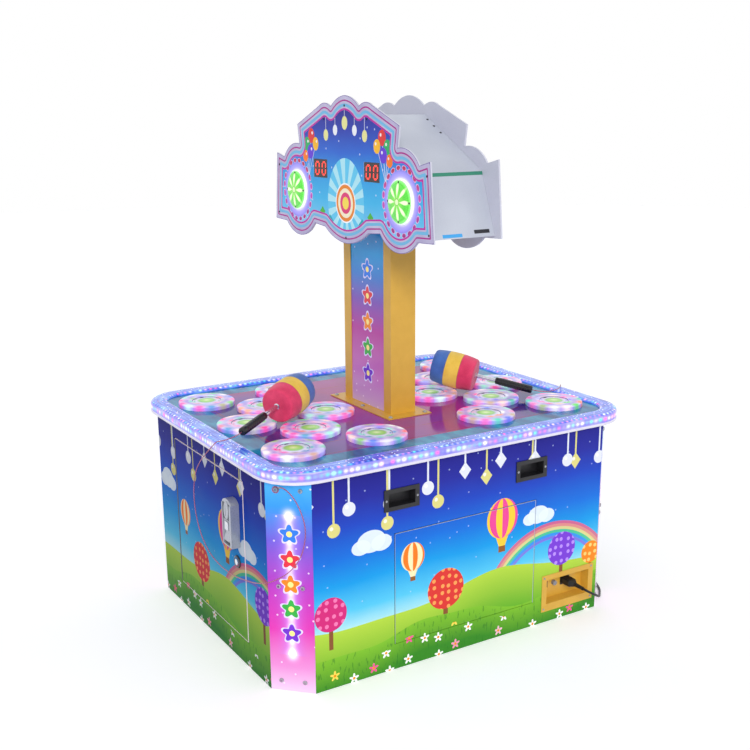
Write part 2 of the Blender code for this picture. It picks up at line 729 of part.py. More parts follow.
def make_target_board(inset):
    """Board under the playfield that carries each target's lights and switch."""
    top = PLAYFIELD_BASE - GAP
    bm = bmesh.new()
    outline = rounded(LIP_HALF_X - inset, LIP_HALF_Y - inset, LIP_RADIUS - inset)
    prism(bm, outline, "Z", top - TARGET_BOARD_WALL, top)
    board = finish("target_board", bm, "circuit board")
    switches = bmesh.new()
    for x, y in button_places():
        low = (x - SWITCH_LENGTH / 2, y - SWITCH_WIDTH / 2, top - TARGET_BOARD_WALL - SWITCH_HEIGHT)
        high = (x + SWITCH_LENGTH / 2, y + SWITCH_WIDTH / 2, top - TARGET_BOARD_WALL / 2)
        box(switches, low, high)
    combine(board, switches, "UNION", "switches")


def button_places():
    """Centres of the targets: rows of three, two and three in from each end."""
    columns = {3: (-COLUMN_PITCH, 0.0, COLUMN_PITCH), 2: (-COLUMN_PITCH / 2, COLUMN_PITCH / 2)}
    places = []
    for end in (-1, 1):
        for share, count in zip(ROW_SHARES, (3, 2, 3)):
            places += [(x, end * share * TABLE_INNER_Y) for x in columns[count]]
    return places


def make_buttons():
    """Sixteen press-down targets with a lens in the middle, which share one turned mesh."""
    bm = bmesh.new()
    profile = [
        (0.0, -BUTTON_DEPTH),
        (BUTTON_RADIUS, -BUTTON_DEPTH),
        (BUTTON_RADIUS, -BUTTON_ROUNDING),
        (BUTTON_RADIUS - BUTTON_ROUNDING, 0.0),
        (LENS_RADIUS, 0.0),
        (LENS_RADIUS - LENS_BEVEL, -LENS_BEVEL),
        (0.0, -LENS_BEVEL),
    ]
    turned(bm, profile, BUTTON_SIDES, Matrix.Identity(4))
    mesh = to_mesh("ring_button", bm)
    mesh.materials.append(material("target"))
    mesh.shade_smooth()
    mesh.set_sharp_from_angle(angle=SHARP_ANGLE)
    for number, (x, y) in enumerate(button_places(), start=1):
        link(f"ring_button_{number:02d}", mesh, Matrix.Translation((x, y, BUTTON_TOP)))


# Post and header


def header_point(shares):
    """Point of the header from its shares of half width and height."""
    return (shares[0] * HEADER_HALF_WIDTH, HEADER_LOW + shares[1] * HEADER_HEIGHT)


def post_top():
    """Height of the post, whose corners end under the cover's sloping roof."""
    fold, top = header_point(COVER_FOLD_SHARES), header_point(COVER_TOP_SHARES)
    slope = (top[1] - fold[1]) / (fold[0] - top[0])
    roof = top[1] - max(POST_HALF_X - top[0], 0.0) * slope
    return roof - COVER_SHEET * math.hypot(1.0, slope) - GAP


def make_post():
    """Steel post with a window in each face, its bolted foot, and arms that carry the boards."""
    bm = bmesh.new()
    outline = rectangle((-POST_HALF_X, -POST_HALF_Y), (POST_HALF_X, POST_HALF_Y))
    bore_x, bore_y = POST_HALF_X - POST_SHEET, POST_HALF_Y - POST_SHEET
    bore = rectangle((-bore_x, -bore_y), (bore_x, bore_y))
    top = post_top()
    plate(bm, outline, [bore], "Z", POST_FOOT_TOP - POST_FOOT_WALL / 2, top)
    post = finish("column", bm, "yellow paint")
    window = bmesh.new()
    strip = POST_HALF_X - POST_STRIP
    sill = POST_FOOT_TOP + POST_SILL
    box(window, (-strip, -2 * POST_HALF_Y, sill), (strip, 2 * POST_HALF_Y, top - POST_HEAD_BAND))
    combine(post, window, "DIFFERENCE", "windows")
    foot = bmesh.new()
    low = (-POST_FOOT_HALF_X, -POST_FOOT_HALF_Y, PLAYFIELD_TOP + GAP)
    box(foot, low, (POST_FOOT_HALF_X, POST_FOOT_HALF_Y, POST_FOOT_TOP))
    combine(post, foot, "UNION", "foot")
    bolts = bmesh.new()
    reach = POST_FOOT_HALF_X - FOOT_BOLT_MARGIN
    for x in (reach, 0.0, -reach):
        for side in (1, -1):
            spot = (x, side * (POST_FOOT_HALF_Y - FOOT_BOLT_MARGIN), POST_FOOT_TOP)
            bolt = facing((0.0, 0.0, 1.0), spot)
            cylinder(bolts, bolt, BOLT_RADIUS, -POST_FOOT_WALL / 2, BOLT_HEIGHT, BOLT_SIDES)
    combine(post, bolts, "UNION", "bolts")
    arms = bmesh.new()
    for share in ARM_LEVEL_SHARES:
        level = HEADER_LOW + share * HEADER_HEIGHT
        for side_x in (1, -1):
            for side_y in (1, -1):
                middle = side_x * (strip + POST_HALF_X) / 2
                root = side_y * (POST_HALF_Y - POST_SHEET / 2)
                end = side_y * (HEADER_HALF_Y - HEADER_BOARD_WALL - GAP)
                near, far = sorted((root, end))
                low = (middle - ARM_WIDTH / 2, near, level - ARM_HEIGHT / 2)
                box(arms, low, (middle + ARM_WIDTH / 2, far, level + ARM_HEIGHT / 2))
    combine(post, arms, "UNION", "arms")
    make_light_box(top)


def make_light_box(top):
    """Printed acrylic box inside the post, whose faces show through the windows."""
    bm = bmesh.new()
    outer_x = POST_HALF_X - POST_SHEET - GAP
    outer_y = POST_HALF_Y - POST_SHEET - GAP
    outline = rectangle((-outer_x, -outer_y), (outer_x, outer_y))
    inner_x, inner_y = outer_x - LIGHT_BOX_WALL, outer_y - LIGHT_BOX_WALL
    bore = rectangle((-inner_x, -inner_y), (inner_x, inner_y))
    plate(bm, outline, [bore], "Z", POST_FOOT_TOP + GAP, top - GAP)
    finish("column_light_box", bm, "light print")


def header_outline():
    """Outline shared by both header boards: a crown, shoulders, wings and three lobes below."""
    def run(first, through, last, steps):
        return arc(header_point(first), header_point(through), header_point(last), steps)

    right = run(CROWN_TOP_SHARES, CROWN_SIDE_SHARES, CROWN_VALLEY_SHARES, CROWN_STEPS)
    right += run(CROWN_VALLEY_SHARES, SHOULDER_TOP_SHARES, SHOULDER_END_SHARES, SHOULDER_STEPS)
    right += [header_point(SHOULDER_END_SHARES), header_point(SHOULDER_CORNER_SHARES)]
    right += run(NECK_CORNER_SHARES, WING_TOP_SHARES, WING_NOTCH_SHARES, SHOULDER_STEPS)
    right += [header_point(WING_NOTCH_SHARES), header_point(WING_TIP_SHARES)]
    right.append(header_point(SIDE_CORNER_SHARES))
    right += run(LOBE_OUTER_SHARES, LOBE_LOW_SHARES, LOBE_INNER_SHARES, LOBE_STEPS)
    right.append(header_point(LOBE_INNER_SHARES))
    right += run(WAVE_CORNER_SHARES, WAVE_SIDE_SHARES, WAVE_LOW_SHARES, CROWN_STEPS)
    right.append(header_point(WAVE_LOW_SHARES))
    left = [(-x, z) for x, z in reversed(right[1:-1])]
    return right + left


def mirrored(shares):
    """A header place and its mirror image."""
    x, z = header_point(shares)
    return ((x, z), (-x, z))


def make_header_boards():
    """Printed boards with two windows each, and the display unit behind each board."""
    windows = [centred(place, DISPLAY_WIDTH, DISPLAY_HEIGHT) for place in mirrored(DISPLAY_SHARES)]
    turns = (("front", Matrix.Identity(4)), ("rear", Matrix.Rotation(math.pi, 4, "Z")))
    face = -HEADER_HALF_Y
    inner = face + HEADER_BOARD_WALL
    for end, turn in turns:
        bm = bmesh.new()
        plate(bm, header_outline(), windows, "Y", face, inner)
        finish(f"header_board_{end}", bm, "header print", turn=turn)
        bm = bmesh.new()
        reach = header_point(DISPLAY_SHARES)[0] + DISPLAY_WIDTH / 2 + DISPLAY_BOARD_MARGIN
        height = DISPLAY_HEIGHT + 2 * DISPLAY_BOARD_MARGIN
        carrier = centred((0.0, header_point(DISPLAY_SHARES)[1]), 2 * reach, height)
        prism(bm, carrier, "Y", inner + GAP, inner + DISPLAY_BOARD_WALL)
        unit = finish(f"score_display_{end}", bm, "display", turn=turn)
        digits = bmesh.new()
        for place in mirrored(DISPLAY_SHARES):
            block = centred(place, DISPLAY_WIDTH - 2 * GAP, DISPLAY_HEIGHT - 2 * GAP)
            prism(digits, block, "Y", face + DISPLAY_SETBACK, inner + DISPLAY_BOARD_WALL / 2)
        bmesh.ops.transform(digits, matrix=turn, verts=digits.verts)
        combine(unit, digits, "UNION", "digits")


def inset_path(points, distance):
    """Closed path moved inwards by a distance, with mitred corners."""
    moved = []
    for index, point in enumerate(points):
        before = (Vector(point) - Vector(points[index - 1])).normalized()
        after = (Vector(points[(index + 1) % len(points)]) - Vector(point)).normalized()
        sides = [Vector((-run.y, run.x)) for run in (before, after)]
        mitre = (sides[0] + sides[1]).normalized()
        moved.append(tuple(Vector(point) + mitre * (distance / mitre.dot(sides[0]))))
    return moved


def make_header_cover():
    """Folded sheet between the boards: roof, sloping sides and a floor with a hole for the post."""
    end = HEADER_HALF_Y - HEADER_BOARD_WALL - GAP
    shares = (COVER_FOOT_SHARES, COVER_FOLD_SHARES, COVER_TOP_SHARES)
    right = [header_point(place) for place in shares]
    outer = right + [(-x, z) for x, z in right[::-1]]
    bm = bmesh.new()
    plate(bm, outer, [inset_path(outer, COVER_SHEET)], "Y", -end, end)
    cover = finish("header_cover", bm, "cover sheet")
    hole = bmesh.new()
    half_x, half_y = POST_HALF_X + GAP, POST_HALF_Y + GAP
    low = (-half_x, -half_y, right[0][1] - COVER_SHEET)
    box(hole, low, (half_x, half_y, right[0][1] + 2 * COVER_SHEET))
    combine(cover, hole, "DIFFERENCE", "post hole")


def make_lamps():
    """Domed lamp lenses, two on each board's face."""
    bm = bmesh.new()
    rise = LAMP_DOME - LAMP_EDGE
    profile = [(0.0, 0.0), (LAMP_RADIUS, 0.0), (LAMP_RADIUS, LAMP_EDGE)]
    profile += [(LAMP_RADIUS * share, LAMP_EDGE + rise * level) for share, level in LAMP_BEND_SHARES]
    profile.append((0.0, LAMP_DOME))
    turned(bm, profile, LAMP_SIDES, Matrix.Identity(4))
    mesh = to_mesh("lamp_lens", bm)
    mesh.materials.append(material("lamp"))
    mesh.shade_smooth()
    mesh.set_sharp_from_angle(angle=SHARP_ANGLE)
    number = 0
    for side in (-1, 1):
        for x, z in mirrored(LAMP_SHARES):
            number += 1
            seat = (x, side * (HEADER_HALF_Y + GAP), z)
            link(f"lamp_lens_{number}", mesh, facing((0.0, side, 0.0), seat))


# Coin door


def make_coin_door():
    """Door with its hinge rod and lock ring, and the lock and coin mechanism that it carries."""
    face = -BODY_HALF_Y
    hinge = (-DOOR_OPENING_HALF + DOOR_GAP / 2, face + HINGE_RADIUS, 0.0)
    bm = bmesh.new()
    outline = rectangle(
        (-DOOR_OPENING_HALF + DOOR_GAP, DOOR_OPENING_LOW + DOOR_GAP),
        (DOOR_OPENING_HALF - DOOR_GAP, DOOR_OPENING_HIGH - DOOR_GAP),
    )
    hole = grow(*chute_corners(), GAP)
    plate(bm, outline, [hole], "Y", face, face + PANEL_WALL)
    door = finish("coin_door", bm, "print", hinge)
    low, high = DOOR_OPENING_LOW + HINGE_MARGIN, DOOR_OPENING_HIGH - HINGE_MARGIN
    leaf = bmesh.new()
    box(leaf, (hinge[0], face, low), (hinge[0] + DOOR_GAP, face + 2 * HINGE_RADIUS, high))
    combine(door, leaf, "UNION", "hinge leaf")
    rod = bmesh.new()
    cylinder(rod, facing((0.0, 0.0, 1.0), hinge), HINGE_RADIUS, low - HINGE_MARGIN / 2, high, HINGE_SIDES)
    combine(door, rod, "UNION", "hinge rod")
    lock = facing((0.0, -1.0, 0.0), (LOCK_PLACE[0], face, LOCK_PLACE[1]))
    ring = bmesh.new()
    cylinder(ring, lock, LOCK_RING_RADIUS, -LOCK_RING_WALL, LOCK_RING_WALL, LOCK_SIDES)
    combine(door, ring, "UNION", "lock ring")
    bore = bmesh.new()
    radius = LOCK_PLUG_RADIUS + GAP
    cylinder(bore, lock, radius, -2 * PANEL_WALL, 2 * LOCK_RING_WALL, LOCK_SIDES)
    combine(door, bore, "DIFFERENCE", "lock bore")
    carry(make_lock(lock, face), door)
    for piece in make_coin_mech(face):
        carry(piece, door)


def make_lock(lock, face):
    """Turning plug of the lock, with its cam behind the door, which hangs down while unlocked."""
    bm = bmesh.new()
    tail = PANEL_WALL + LOCK_PLUG_TAIL
    cylinder(bm, lock, LOCK_PLUG_RADIUS, -tail, LOCK_RING_WALL + LOCK_PLUG_PROUD, LOCK_SIDES)
    place = (LOCK_PLACE[0], face, LOCK_PLACE[1])
    plug = finish("door_lock", bm, "chrome", place)
    cam = bmesh.new()
    half = LOCK_CAM_WIDTH / 2
    reach = LOCK_SIDE_INSET + LOCK_CAM_CATCH
    x, z = LOCK_PLACE
    blade = rectangle((x - half, z - reach), (x + half, z + half))
    back = face + tail - LOCK_CAM_WALL
    prism(cam, blade, "Y", back - LOCK_CAM_WALL, back)
    combine(plug, cam, "UNION", "cam")
    return plug


def chute_corners():
    """Opposite corners of the chute behind the door, which hides behind the bezel by a margin."""
    x, z = MECH_PLACE[0], MECH_PLACE[1] - MECH_CROWN / 2
    across = MECH_WIDTH / 2 - MECH_MARGIN
    up = (MECH_HEIGHT - MECH_CROWN) / 2 - MECH_MARGIN
    return ((x - across, z - up), (x + across, z + up))


def mech_outline():
    """Face of the coin mechanism: a rectangle with a cambered top."""
    left, right = MECH_PLACE[0] - MECH_WIDTH / 2, MECH_PLACE[0] + MECH_WIDTH / 2
    low, top = MECH_PLACE[1] - MECH_HEIGHT / 2, MECH_PLACE[1] + MECH_HEIGHT / 2
    shoulder = top - MECH_CROWN
    points = arc((right, shoulder), (MECH_PLACE[0], top), (left, shoulder), CROWN_ARC_STEPS)
    return points + [(left, shoulder), (left, low), (right, low)]


def make_coin_mech(face):
    """Die-cast bezel with its entry dome, reject button and return cup, and the chute behind."""
    front = face - GAP - MECH_DEPTH
    x, z = MECH_PLACE
    reject = (x, z - REJECT_DROP)
    bm = bmesh.new()
    prism(bm, mech_outline(), "Y", front, face - GAP)
    mech = finish("coin_mech", bm, "chrome")
    dome = bmesh.new()
    entry = facing((0.0, -1.0, 0.0), (x, front, z + ENTRY_LIFT))
    stretch = Matrix.Diagonal((1.0, ENTRY_HEIGHT / ENTRY_WIDTH, 1.0, 1.0))
    sunk = ENTRY_PROUD
    profile = [
        (0.0, -sunk),
        (ENTRY_WIDTH / 2, -sunk),
        (ENTRY_WIDTH / 2, sunk / 2),
        (ENTRY_WIDTH / 2 - sunk / 2, sunk),
        (0.0, sunk),
    ]
    turned(dome, profile, ENTRY_SIDES, entry @ stretch)
    combine(mech, dome, "UNION", "entry dome")
    chute = bmesh.new()
    prism(chute, rectangle(*chute_corners()), "Y", front + MECH_DEPTH / 2, face + CHUTE_DEPTH)
    combine(mech, chute, "UNION", "chute")
    pockets = bmesh.new()
    clear = 2 * SLIDE_CLEARANCE
    slide = REJECT_LENGTH - REJECT_PROUD + REJECT_TRAVEL + SLIDE_CLEARANCE
    button_hole = centred(reject, REJECT_WIDTH + clear, REJECT_HEIGHT + clear)
    prism(pockets, button_hole, "Y", front - MECH_DEPTH, front + slide)
    cup = centred((x, z - CUP_DROP), CUP_WIDTH, CUP_HEIGHT)
    prism(pockets, cup, "Y", front - MECH_DEPTH, face + CHUTE_DEPTH - CUP_BACK)
    slot = centred((x, z + ENTRY_LIFT), COIN_SLOT_WIDTH, COIN_SLOT_HEIGHT)
    prism(pockets, slot, "Y", front - MECH_DEPTH, front + COIN_SLOT_DEPTH)
    combine(mech, pockets, "DIFFERENCE", "pockets")
    bm = bmesh.new()
    tip = front - REJECT_PROUD
    prism(bm, centred(reject, REJECT_WIDTH, REJECT_HEIGHT), "Y", tip, tip + REJECT_LENGTH)
    button = finish("reject_button", bm, "chrome", (reject[0], tip, reject[1]))
    return (mech, button)


# Side fittings


def tray_loops(low, high, levels, side):
    """Loops of a rectangular tray, whose margins run (along, below, above) at each level."""
    loops = []
    for level, (along, below, above) in levels:
        corners = rectangle((low[0] + along, low[1] + below), (high[0] - along, high[1] - above))
        loops.append([spread("X", corner, side * level) for corner in corners])
    return loops


def make_handles():
    """Two moulded finger cups a side, on the backing strip that they share inside the cabinet."""
    along = (HANDLE_WIDTH - HANDLE_CUP_WIDTH) / 2
    edge = (HANDLE_HEIGHT - HANDLE_CUP_HEIGHT) / 2
    mouth = (along, edge, edge)
    wall = tuple(margin - HANDLE_CUP_WALL for margin in mouth)
    plain = (0.0, 0.0, 0.0)
    face = BODY_HALF_X + GAP
    floor = face + HANDLE_FLANGE - HANDLE_CUP_DEPTH
    levels = [
        (floor, mouth), (face + HANDLE_FLANGE, mouth), (face + HANDLE_FLANGE, plain),
        (face, plain), (face, wall), (floor - HANDLE_CUP_WALL, wall),
    ]
    reach = HANDLE_PLACE_Y - HANDLE_CUP_WIDTH / 2 - HANDLE_CUP_WALL / 2
    half = HANDLE_STRIP_HEIGHT / 2
    for name, side in (("carry_handles_right", 1), ("carry_handles_left", -1)):
        strip = bmesh.new()
        near, far = sorted((side * (INNER_X - GAP), side * (INNER_X - HANDLE_STRIP_WALL)))
        box(strip, (near, -reach, HANDLE_PLACE_Z - half), (far, reach, HANDLE_PLACE_Z + half))
        item = finish(name, strip, "black plastic")
        cups = bmesh.new()
        for place in (HANDLE_PLACE_Y, -HANDLE_PLACE_Y):
            low = (place - HANDLE_WIDTH / 2, HANDLE_PLACE_Z - HANDLE_HEIGHT / 2)
            high = (place + HANDLE_WIDTH / 2, HANDLE_PLACE_Z + HANDLE_HEIGHT / 2)
            loft(cups, tray_loops(low, high, levels, side))
        combine(item, cups, "UNION", "cups")


def make_power_box():
    """Yellow recessed tray with its module plate, whose rocker switch turns in its frame."""
    bm = bmesh.new()
    mouth = (POWER_BORDER_Y, POWER_BORDER_LOW, POWER_BORDER_HIGH)
    floor = tuple(margin + POWER_TAPER for margin in mouth)
    plain = (0.0, 0.0, 0.0)
    face = BODY_HALF_X + GAP
    levels = [
        (RECESS_FLOOR, floor),
        (face + POWER_SHEET, mouth),
        (face + POWER_SHEET, plain),
        (face, plain),
        (face, tuple(margin - POWER_SHEET for margin in mouth)),
        (RECESS_FLOOR - POWER_SHEET, tuple(margin - POWER_SHEET for margin in floor)),
    ]
    loft(bm, tray_loops((POWER_LOW_Y, POWER_LOW), (POWER_HIGH_Y, POWER_HIGH), levels, 1))
    finish("power_box", bm, "yellow paint")
    root = RECESS_FLOOR + GAP
    top = root + MODULE_WALL
    low = (SWITCH_PLACE[0] - SWITCH_FRAME_WIDTH / 2, INLET_PLACE[1] - SWITCH_FRAME_HEIGHT / 2)
    high = (INLET_PLACE[0] + INLET_WIDTH / 2, SWITCH_PLACE[1] + SWITCH_FRAME_HEIGHT / 2)
    bm = bmesh.new()
    prism(bm, grow(low, high, MODULE_MARGIN), "X", root, top)
    module = finish("power_inlet", bm, "black plastic")
    raised = bmesh.new()
    rooted = root + MODULE_WALL / 2
    frame = centred(SWITCH_PLACE, SWITCH_FRAME_WIDTH, SWITCH_FRAME_HEIGHT)
    prism(raised, frame, "X", rooted, top + SWITCH_FRAME_WALL)
    fuse = facing((1.0, 0.0, 0.0), (top, *FUSE_PLACE))
    cylinder(raised, fuse, FUSE_RADIUS, -MODULE_WALL / 2, FUSE_PROUD, LOCK_SIDES)
    prism(raised, centred(INLET_PLACE, INLET_WIDTH, INLET_HEIGHT), "X", rooted, top + INLET_PROUD)
    combine(module, raised, "UNION", "fittings")
    hole = bmesh.new()
    height = 2 * (ROCKER_HALF_HEIGHT + ROCKER_CLEARANCE)
    opening = centred(SWITCH_PLACE, ROCKER_WIDTH + 2 * ROCKER_CLEARANCE, height)
    prism(hole, opening, "X", top, top + 2 * SWITCH_FRAME_WALL)
    combine(module, hole, "DIFFERENCE", "rocker hole")
    make_rocker(top)


def make_rocker(top):
    """Rocker with a pressed half and a raised half, on its axle inside the frame."""
    axle = (top + SWITCH_FRAME_WALL - ROCKER_DROP, *SWITCH_PLACE)
    half = ROCKER_HALF_HEIGHT
    heel = half * ROCKER_HEEL_SHARE
    root = SWITCH_FRAME_WALL - ROCKER_DROP - 2 * ROCKER_CLEARANCE
    profile = [
        (-root, -heel),
        (ROCKER_PROUD, -half),
        (ROCKER_WAIST, 0.0),
        (ROCKER_PROUD, half),
        (-root, heel),
    ]
    loops = []
    for side in (-1, 1):
        y = side * ROCKER_WIDTH / 2
        loops.append([Vector((depth, y, lift)) for depth, lift in profile])
    bm = bmesh.new()
    loft(bm, loops)
    mesh = to_mesh("power_switch", bm)
    mesh.materials.append(material("red plastic"))
    link("power_switch", mesh, Matrix.Translation(axle) @ Matrix.Rotation(ROCKER_TILT, 4, "Y"))


# Cords


def centripetal(window, share):
    """Point of the centripetal Catmull-Rom curve between the middle two of four points."""
    knots = [0.0]
    for low, high in zip(window, window[1:]):
        knots.append(knots[-1] + math.sqrt((high - low).length))
    t = knots[1] + (knots[2] - knots[1]) * share
    firsts = [
        window[i].lerp(window[i + 1], (t - knots[i]) / (knots[i + 1] - knots[i])) for i in range(3)
    ]
    seconds = [
        firsts[i].lerp(firsts[i + 1], (t - knots[i]) / (knots[i + 2] - knots[i])) for i in range(2)
    ]
    return seconds[0].lerp(seconds[1], share)


def smooth_route(points, step):
    """Points a step apart on a smooth curve through a route's own points."""
    route = [Vector(point) for point in points]
    route = [2 * route[0] - route[1], *route, 2 * route[-1] - route[-2]]
    dense = []
    for index in range(len(route) - 3):
        window = route[index:index + 4]
        count = max(4, round((window[2] - window[1]).length / step * 4))
        dense += [centripetal(window, part / count) for part in range(count)]
    dense.append(route[-2])
    lengths = [0.0]
    for low, high in zip(dense, dense[1:]):
        lengths.append(lengths[-1] + (high - low).length)
    count = max(2, round(lengths[-1] / step))
    even = []
    place = 0
    for index in range(count + 1):
        target = lengths[-1] * index / count
        while place < len(lengths) - 2 and lengths[place + 1] < target:
            place += 1
        share = (target - lengths[place]) / (lengths[place + 1] - lengths[place])
        even.append(dense[place].lerp(dense[place + 1], share))
    return even


def tube(name, points, diameter, resolution, finish_name):
    """Round tube along points, as a bevelled poly curve with filled caps."""
    curve = bpy.data.curves.new(name, "CURVE")
    curve.dimensions = "3D"
    curve.bevel_depth = diameter / 2
    curve.bevel_resolution = resolution
    curve.use_fill_caps = True
    spline = curve.splines.new("POLY")
    spline.points.add(len(points) - 1)
    for slot, point in zip(spline.points, points):
        slot.co = (*point, 1.0)
    curve.materials.append(material(finish_name))
    item = bpy.data.objects.new(name, curve)
    bpy.context.collection.objects.link(item)


# The mains lead's way down the corner to the floor behind the cabinet, chosen by hand
CORD_ROUTE = (
    (0.0720, -0.1785, 0.0995),
    (0.0765, -0.1650, 0.0910),
    (0.0710, -0.1450, 0.0790),
    (0.0560, -0.1240, 0.0662),
    (0.0370, -0.1060, 0.0540),
    (0.0220, -0.0900, 0.0430),
    (0.0050, -0.0700, 0.0320),
    (-0.0175, -0.0480, 0.0210),
    (-0.0425, -0.0235, 0.0115),
    (-0.0690, 0.0010, 0.0055),
    (-0.0990, 0.0200, 0.0040),
    (-0.1350, 0.0330, 0.0040),
    (-0.1750, 0.0440, 0.0040),
    (-0.2190, 0.0510, 0.0040),
    (-0.2650, 0.0555, 0.0040),
    (-0.2980, 0.0570, 0.0040),
    (-0.3140, 0.0570, 0.0040),
)
CORD_REST = 0.0040


def coil_points():
    """The coiled length: a spiral in on the floor, a climb, and a spiral out on top of it."""
    turns = COIL_TURNS_A_LAYER
    middle = Vector((BODY_HALF_X - COIL_SIDE_INSET, BODY_HALF_Y + COIL_BEHIND, 0.0))
    points = [middle + Vector((COIL_END - GAP, -COIL_OUTER, CORD_REST))]
    total = 2 * turns * COIL_POINTS_A_TURN
    for index in range(total + 1):
        turn = index / COIL_POINTS_A_TURN
        inward = min(turn, 2 * turns - turn)
        climb = min(max(2 * (turn - turns) + 0.5, 0.0), 1.0)
        last = max(2 * (turn - 2 * turns) + 1.0, 0.0)
        radius = COIL_OUTER - COIL_PITCH * inward + COIL_FLARE * last * last
        angle = -math.pi / 2 - 2 * math.pi * turn
        level = CORD_REST + COIL_LAYER * climb * climb * (3 - 2 * climb)
        points.append(middle + Vector((radius * math.cos(angle), radius * math.sin(angle), level)))
    slope = points[-1] - points[-2]
    slope = Vector((slope.x, slope.y, 0.0)).normalized()
    points.append(points[-1] + slope * COIL_END)
    return points


def least_self_gap(points, diameter):
    """Least gap between stretches of a tube that lie more than three diameters apart along it."""
    least = math.inf
    run = [0.0]
    for low, high in zip(points, points[1:]):
        run.append(run[-1] + (high - low).length)
    for first in range(len(points)):
        for second in range(first + 1, len(points)):
            if run[second] - run[first] > 3 * diameter:
                least = min(least, (points[first] - points[second]).length)
    return least - diameter


def box_loop(width, height, level, share):
    """Eight-sided loop at a level along X, whose corners are cut by a share of its half height."""
    half_y, half_z = width / 2, height / 2
    cut = half_z * share
    points = []
    for side_y, side_z in ((1, 1), (-1, 1), (-1, -1), (1, -1)):
        pair = [(half_y, half_z - cut), (half_y - cut, half_z)]
        if side_y * side_z < 0:
            pair.reverse()
        points += [Vector((level, side_y * y, side_z * z)) for y, z in pair]
    return points


def round_loop(radius, level):
    """Eight-sided loop that stands for a round section."""
    return box_loop(2 * radius, 2 * radius, level, ROUND_CUT_SHARE)


def make_connector():
    """Appliance connector that stands straight out of the inlet; gives the tip of its boot."""
    root = RECESS_FLOOR + GAP + MODULE_WALL + INLET_PROUD + GAP
    neck = CONNECTOR_BODY + CONNECTOR_TAPER
    bm = bmesh.new()
    loft(bm, [
        box_loop(CONNECTOR_WIDTH, CONNECTOR_HEIGHT, 0.0, CORNER_CUT_SHARE),
        box_loop(CONNECTOR_WIDTH, CONNECTOR_HEIGHT, CONNECTOR_BODY, CORNER_CUT_SHARE),
        round_loop(BOOT_RADIUS, neck),
        round_loop(BOOT_TIP_RADIUS, neck + CONNECTOR_BOOT),
    ])
    mesh = to_mesh("cord_connector", bm)
    mesh.materials.append(material("black rubber"))
    link("cord_connector", mesh, Matrix.Translation((root, *INLET_PLACE)))
    return Vector((root + neck + CONNECTOR_BOOT, *INLET_PLACE))


def make_plug(frame):
    """Moulded mains plug with two blades and an earth pin."""
    bm = bmesh.new()
    tip = PLUG_BOOT + PLUG_BODY
    loft(bm, [
        round_loop(BOOT_TIP_RADIUS, GAP),
        round_loop(BOOT_RADIUS, PLUG_BOOT),
        box_loop(PLUG_WIDTH, PLUG_HEIGHT, PLUG_BOOT + PLUG_SHOULDER, CORNER_CUT_SHARE),
        box_loop(PLUG_WIDTH, PLUG_HEIGHT, tip, CORNER_CUT_SHARE),
    ])
    bmesh.ops.transform(bm, matrix=frame, verts=bm.verts)
    plug = finish("mains_plug", bm, "black rubber", frame.translation)
    pins = bmesh.new()
    for side in (1, -1):
        middle = side * BLADE_SPACING / 2
        low = (tip - PLUG_SHOULDER, middle - BLADE_WALL / 2, BLADE_LIFT - BLADE_HEIGHT / 2)
        box(pins, low, (tip + BLADE_LENGTH, middle + BLADE_WALL / 2, BLADE_LIFT + BLADE_HEIGHT / 2))
    earth = facing((1.0, 0.0, 0.0), (tip, 0.0, -EARTH_DROP))
    cylinder(pins, earth, EARTH_RADIUS, -PLUG_SHOULDER, BLADE_LENGTH, HINGE_SIDES)
    bmesh.ops.transform(pins, matrix=frame, verts=pins.verts)
    combine(plug, pins, "UNION", "pins")


def make_mains_lead():
    """The lead from its connector down to the floor, its coil and the mains plug."""
    start = make_connector() + Vector((GAP, 0.0, 0.0))
    lead = start + Vector((CORD_DIAMETER, 0.0, 0.0))
    step = CORD_DIAMETER * CORD_STEPS_A_POINT
    corner = Vector((BODY_HALF_X, BODY_HALF_Y, 0.0))
    route = [corner + Vector(place) for place in CORD_ROUTE]
    points = [start, *smooth_route([lead, *route], step)]
    tube("power_cord", points, CORD_DIAMETER, TUBE_RESOLUTION, "black rubber")
    points = coil_points()
    print("least gap in the coil, mm:", round(least_self_gap(points, CORD_DIAMETER) * 1000, 2))
    tube("power_cord_coil", points, CORD_DIAMETER, COIL_RESOLUTION, "black rubber")
    along = (points[-1] - points[-2]).normalized()
    turn = Matrix.Rotation(math.atan2(along.y, along.x), 4, "Z")
    make_plug(Matrix.Translation(points[-1]) @ turn)


# Mallets and their cables


def mallet_frame(end):
    """Frame at the middle of a mallet's head whose Z runs down its rod to the grip."""
    heading, tilt = MALLET_HEADINGS[end], MALLET_TILTS[end]
    across, inward = MALLET_PLACE_SHARES[end]
    lift = MALLET_FRONT_LIFT if end == "front" else MALLET_REAR_LIFT
    place = (across * TABLE_INNER_X, inward * TABLE_INNER_Y, BUTTON_TOP + lift)
    flat = math.cos(tilt)
    return facing((flat * math.cos(heading), flat * math.sin(heading), -math.sin(tilt)), place)


def barrel_radius(height):
    """Radius of the barrel at a height along it, swelling to its middle."""
    share = height / (MALLET_HEAD_LENGTH / 2)
    return MALLET_END_RADIUS + MALLET_SWELL * (1 - share * share)


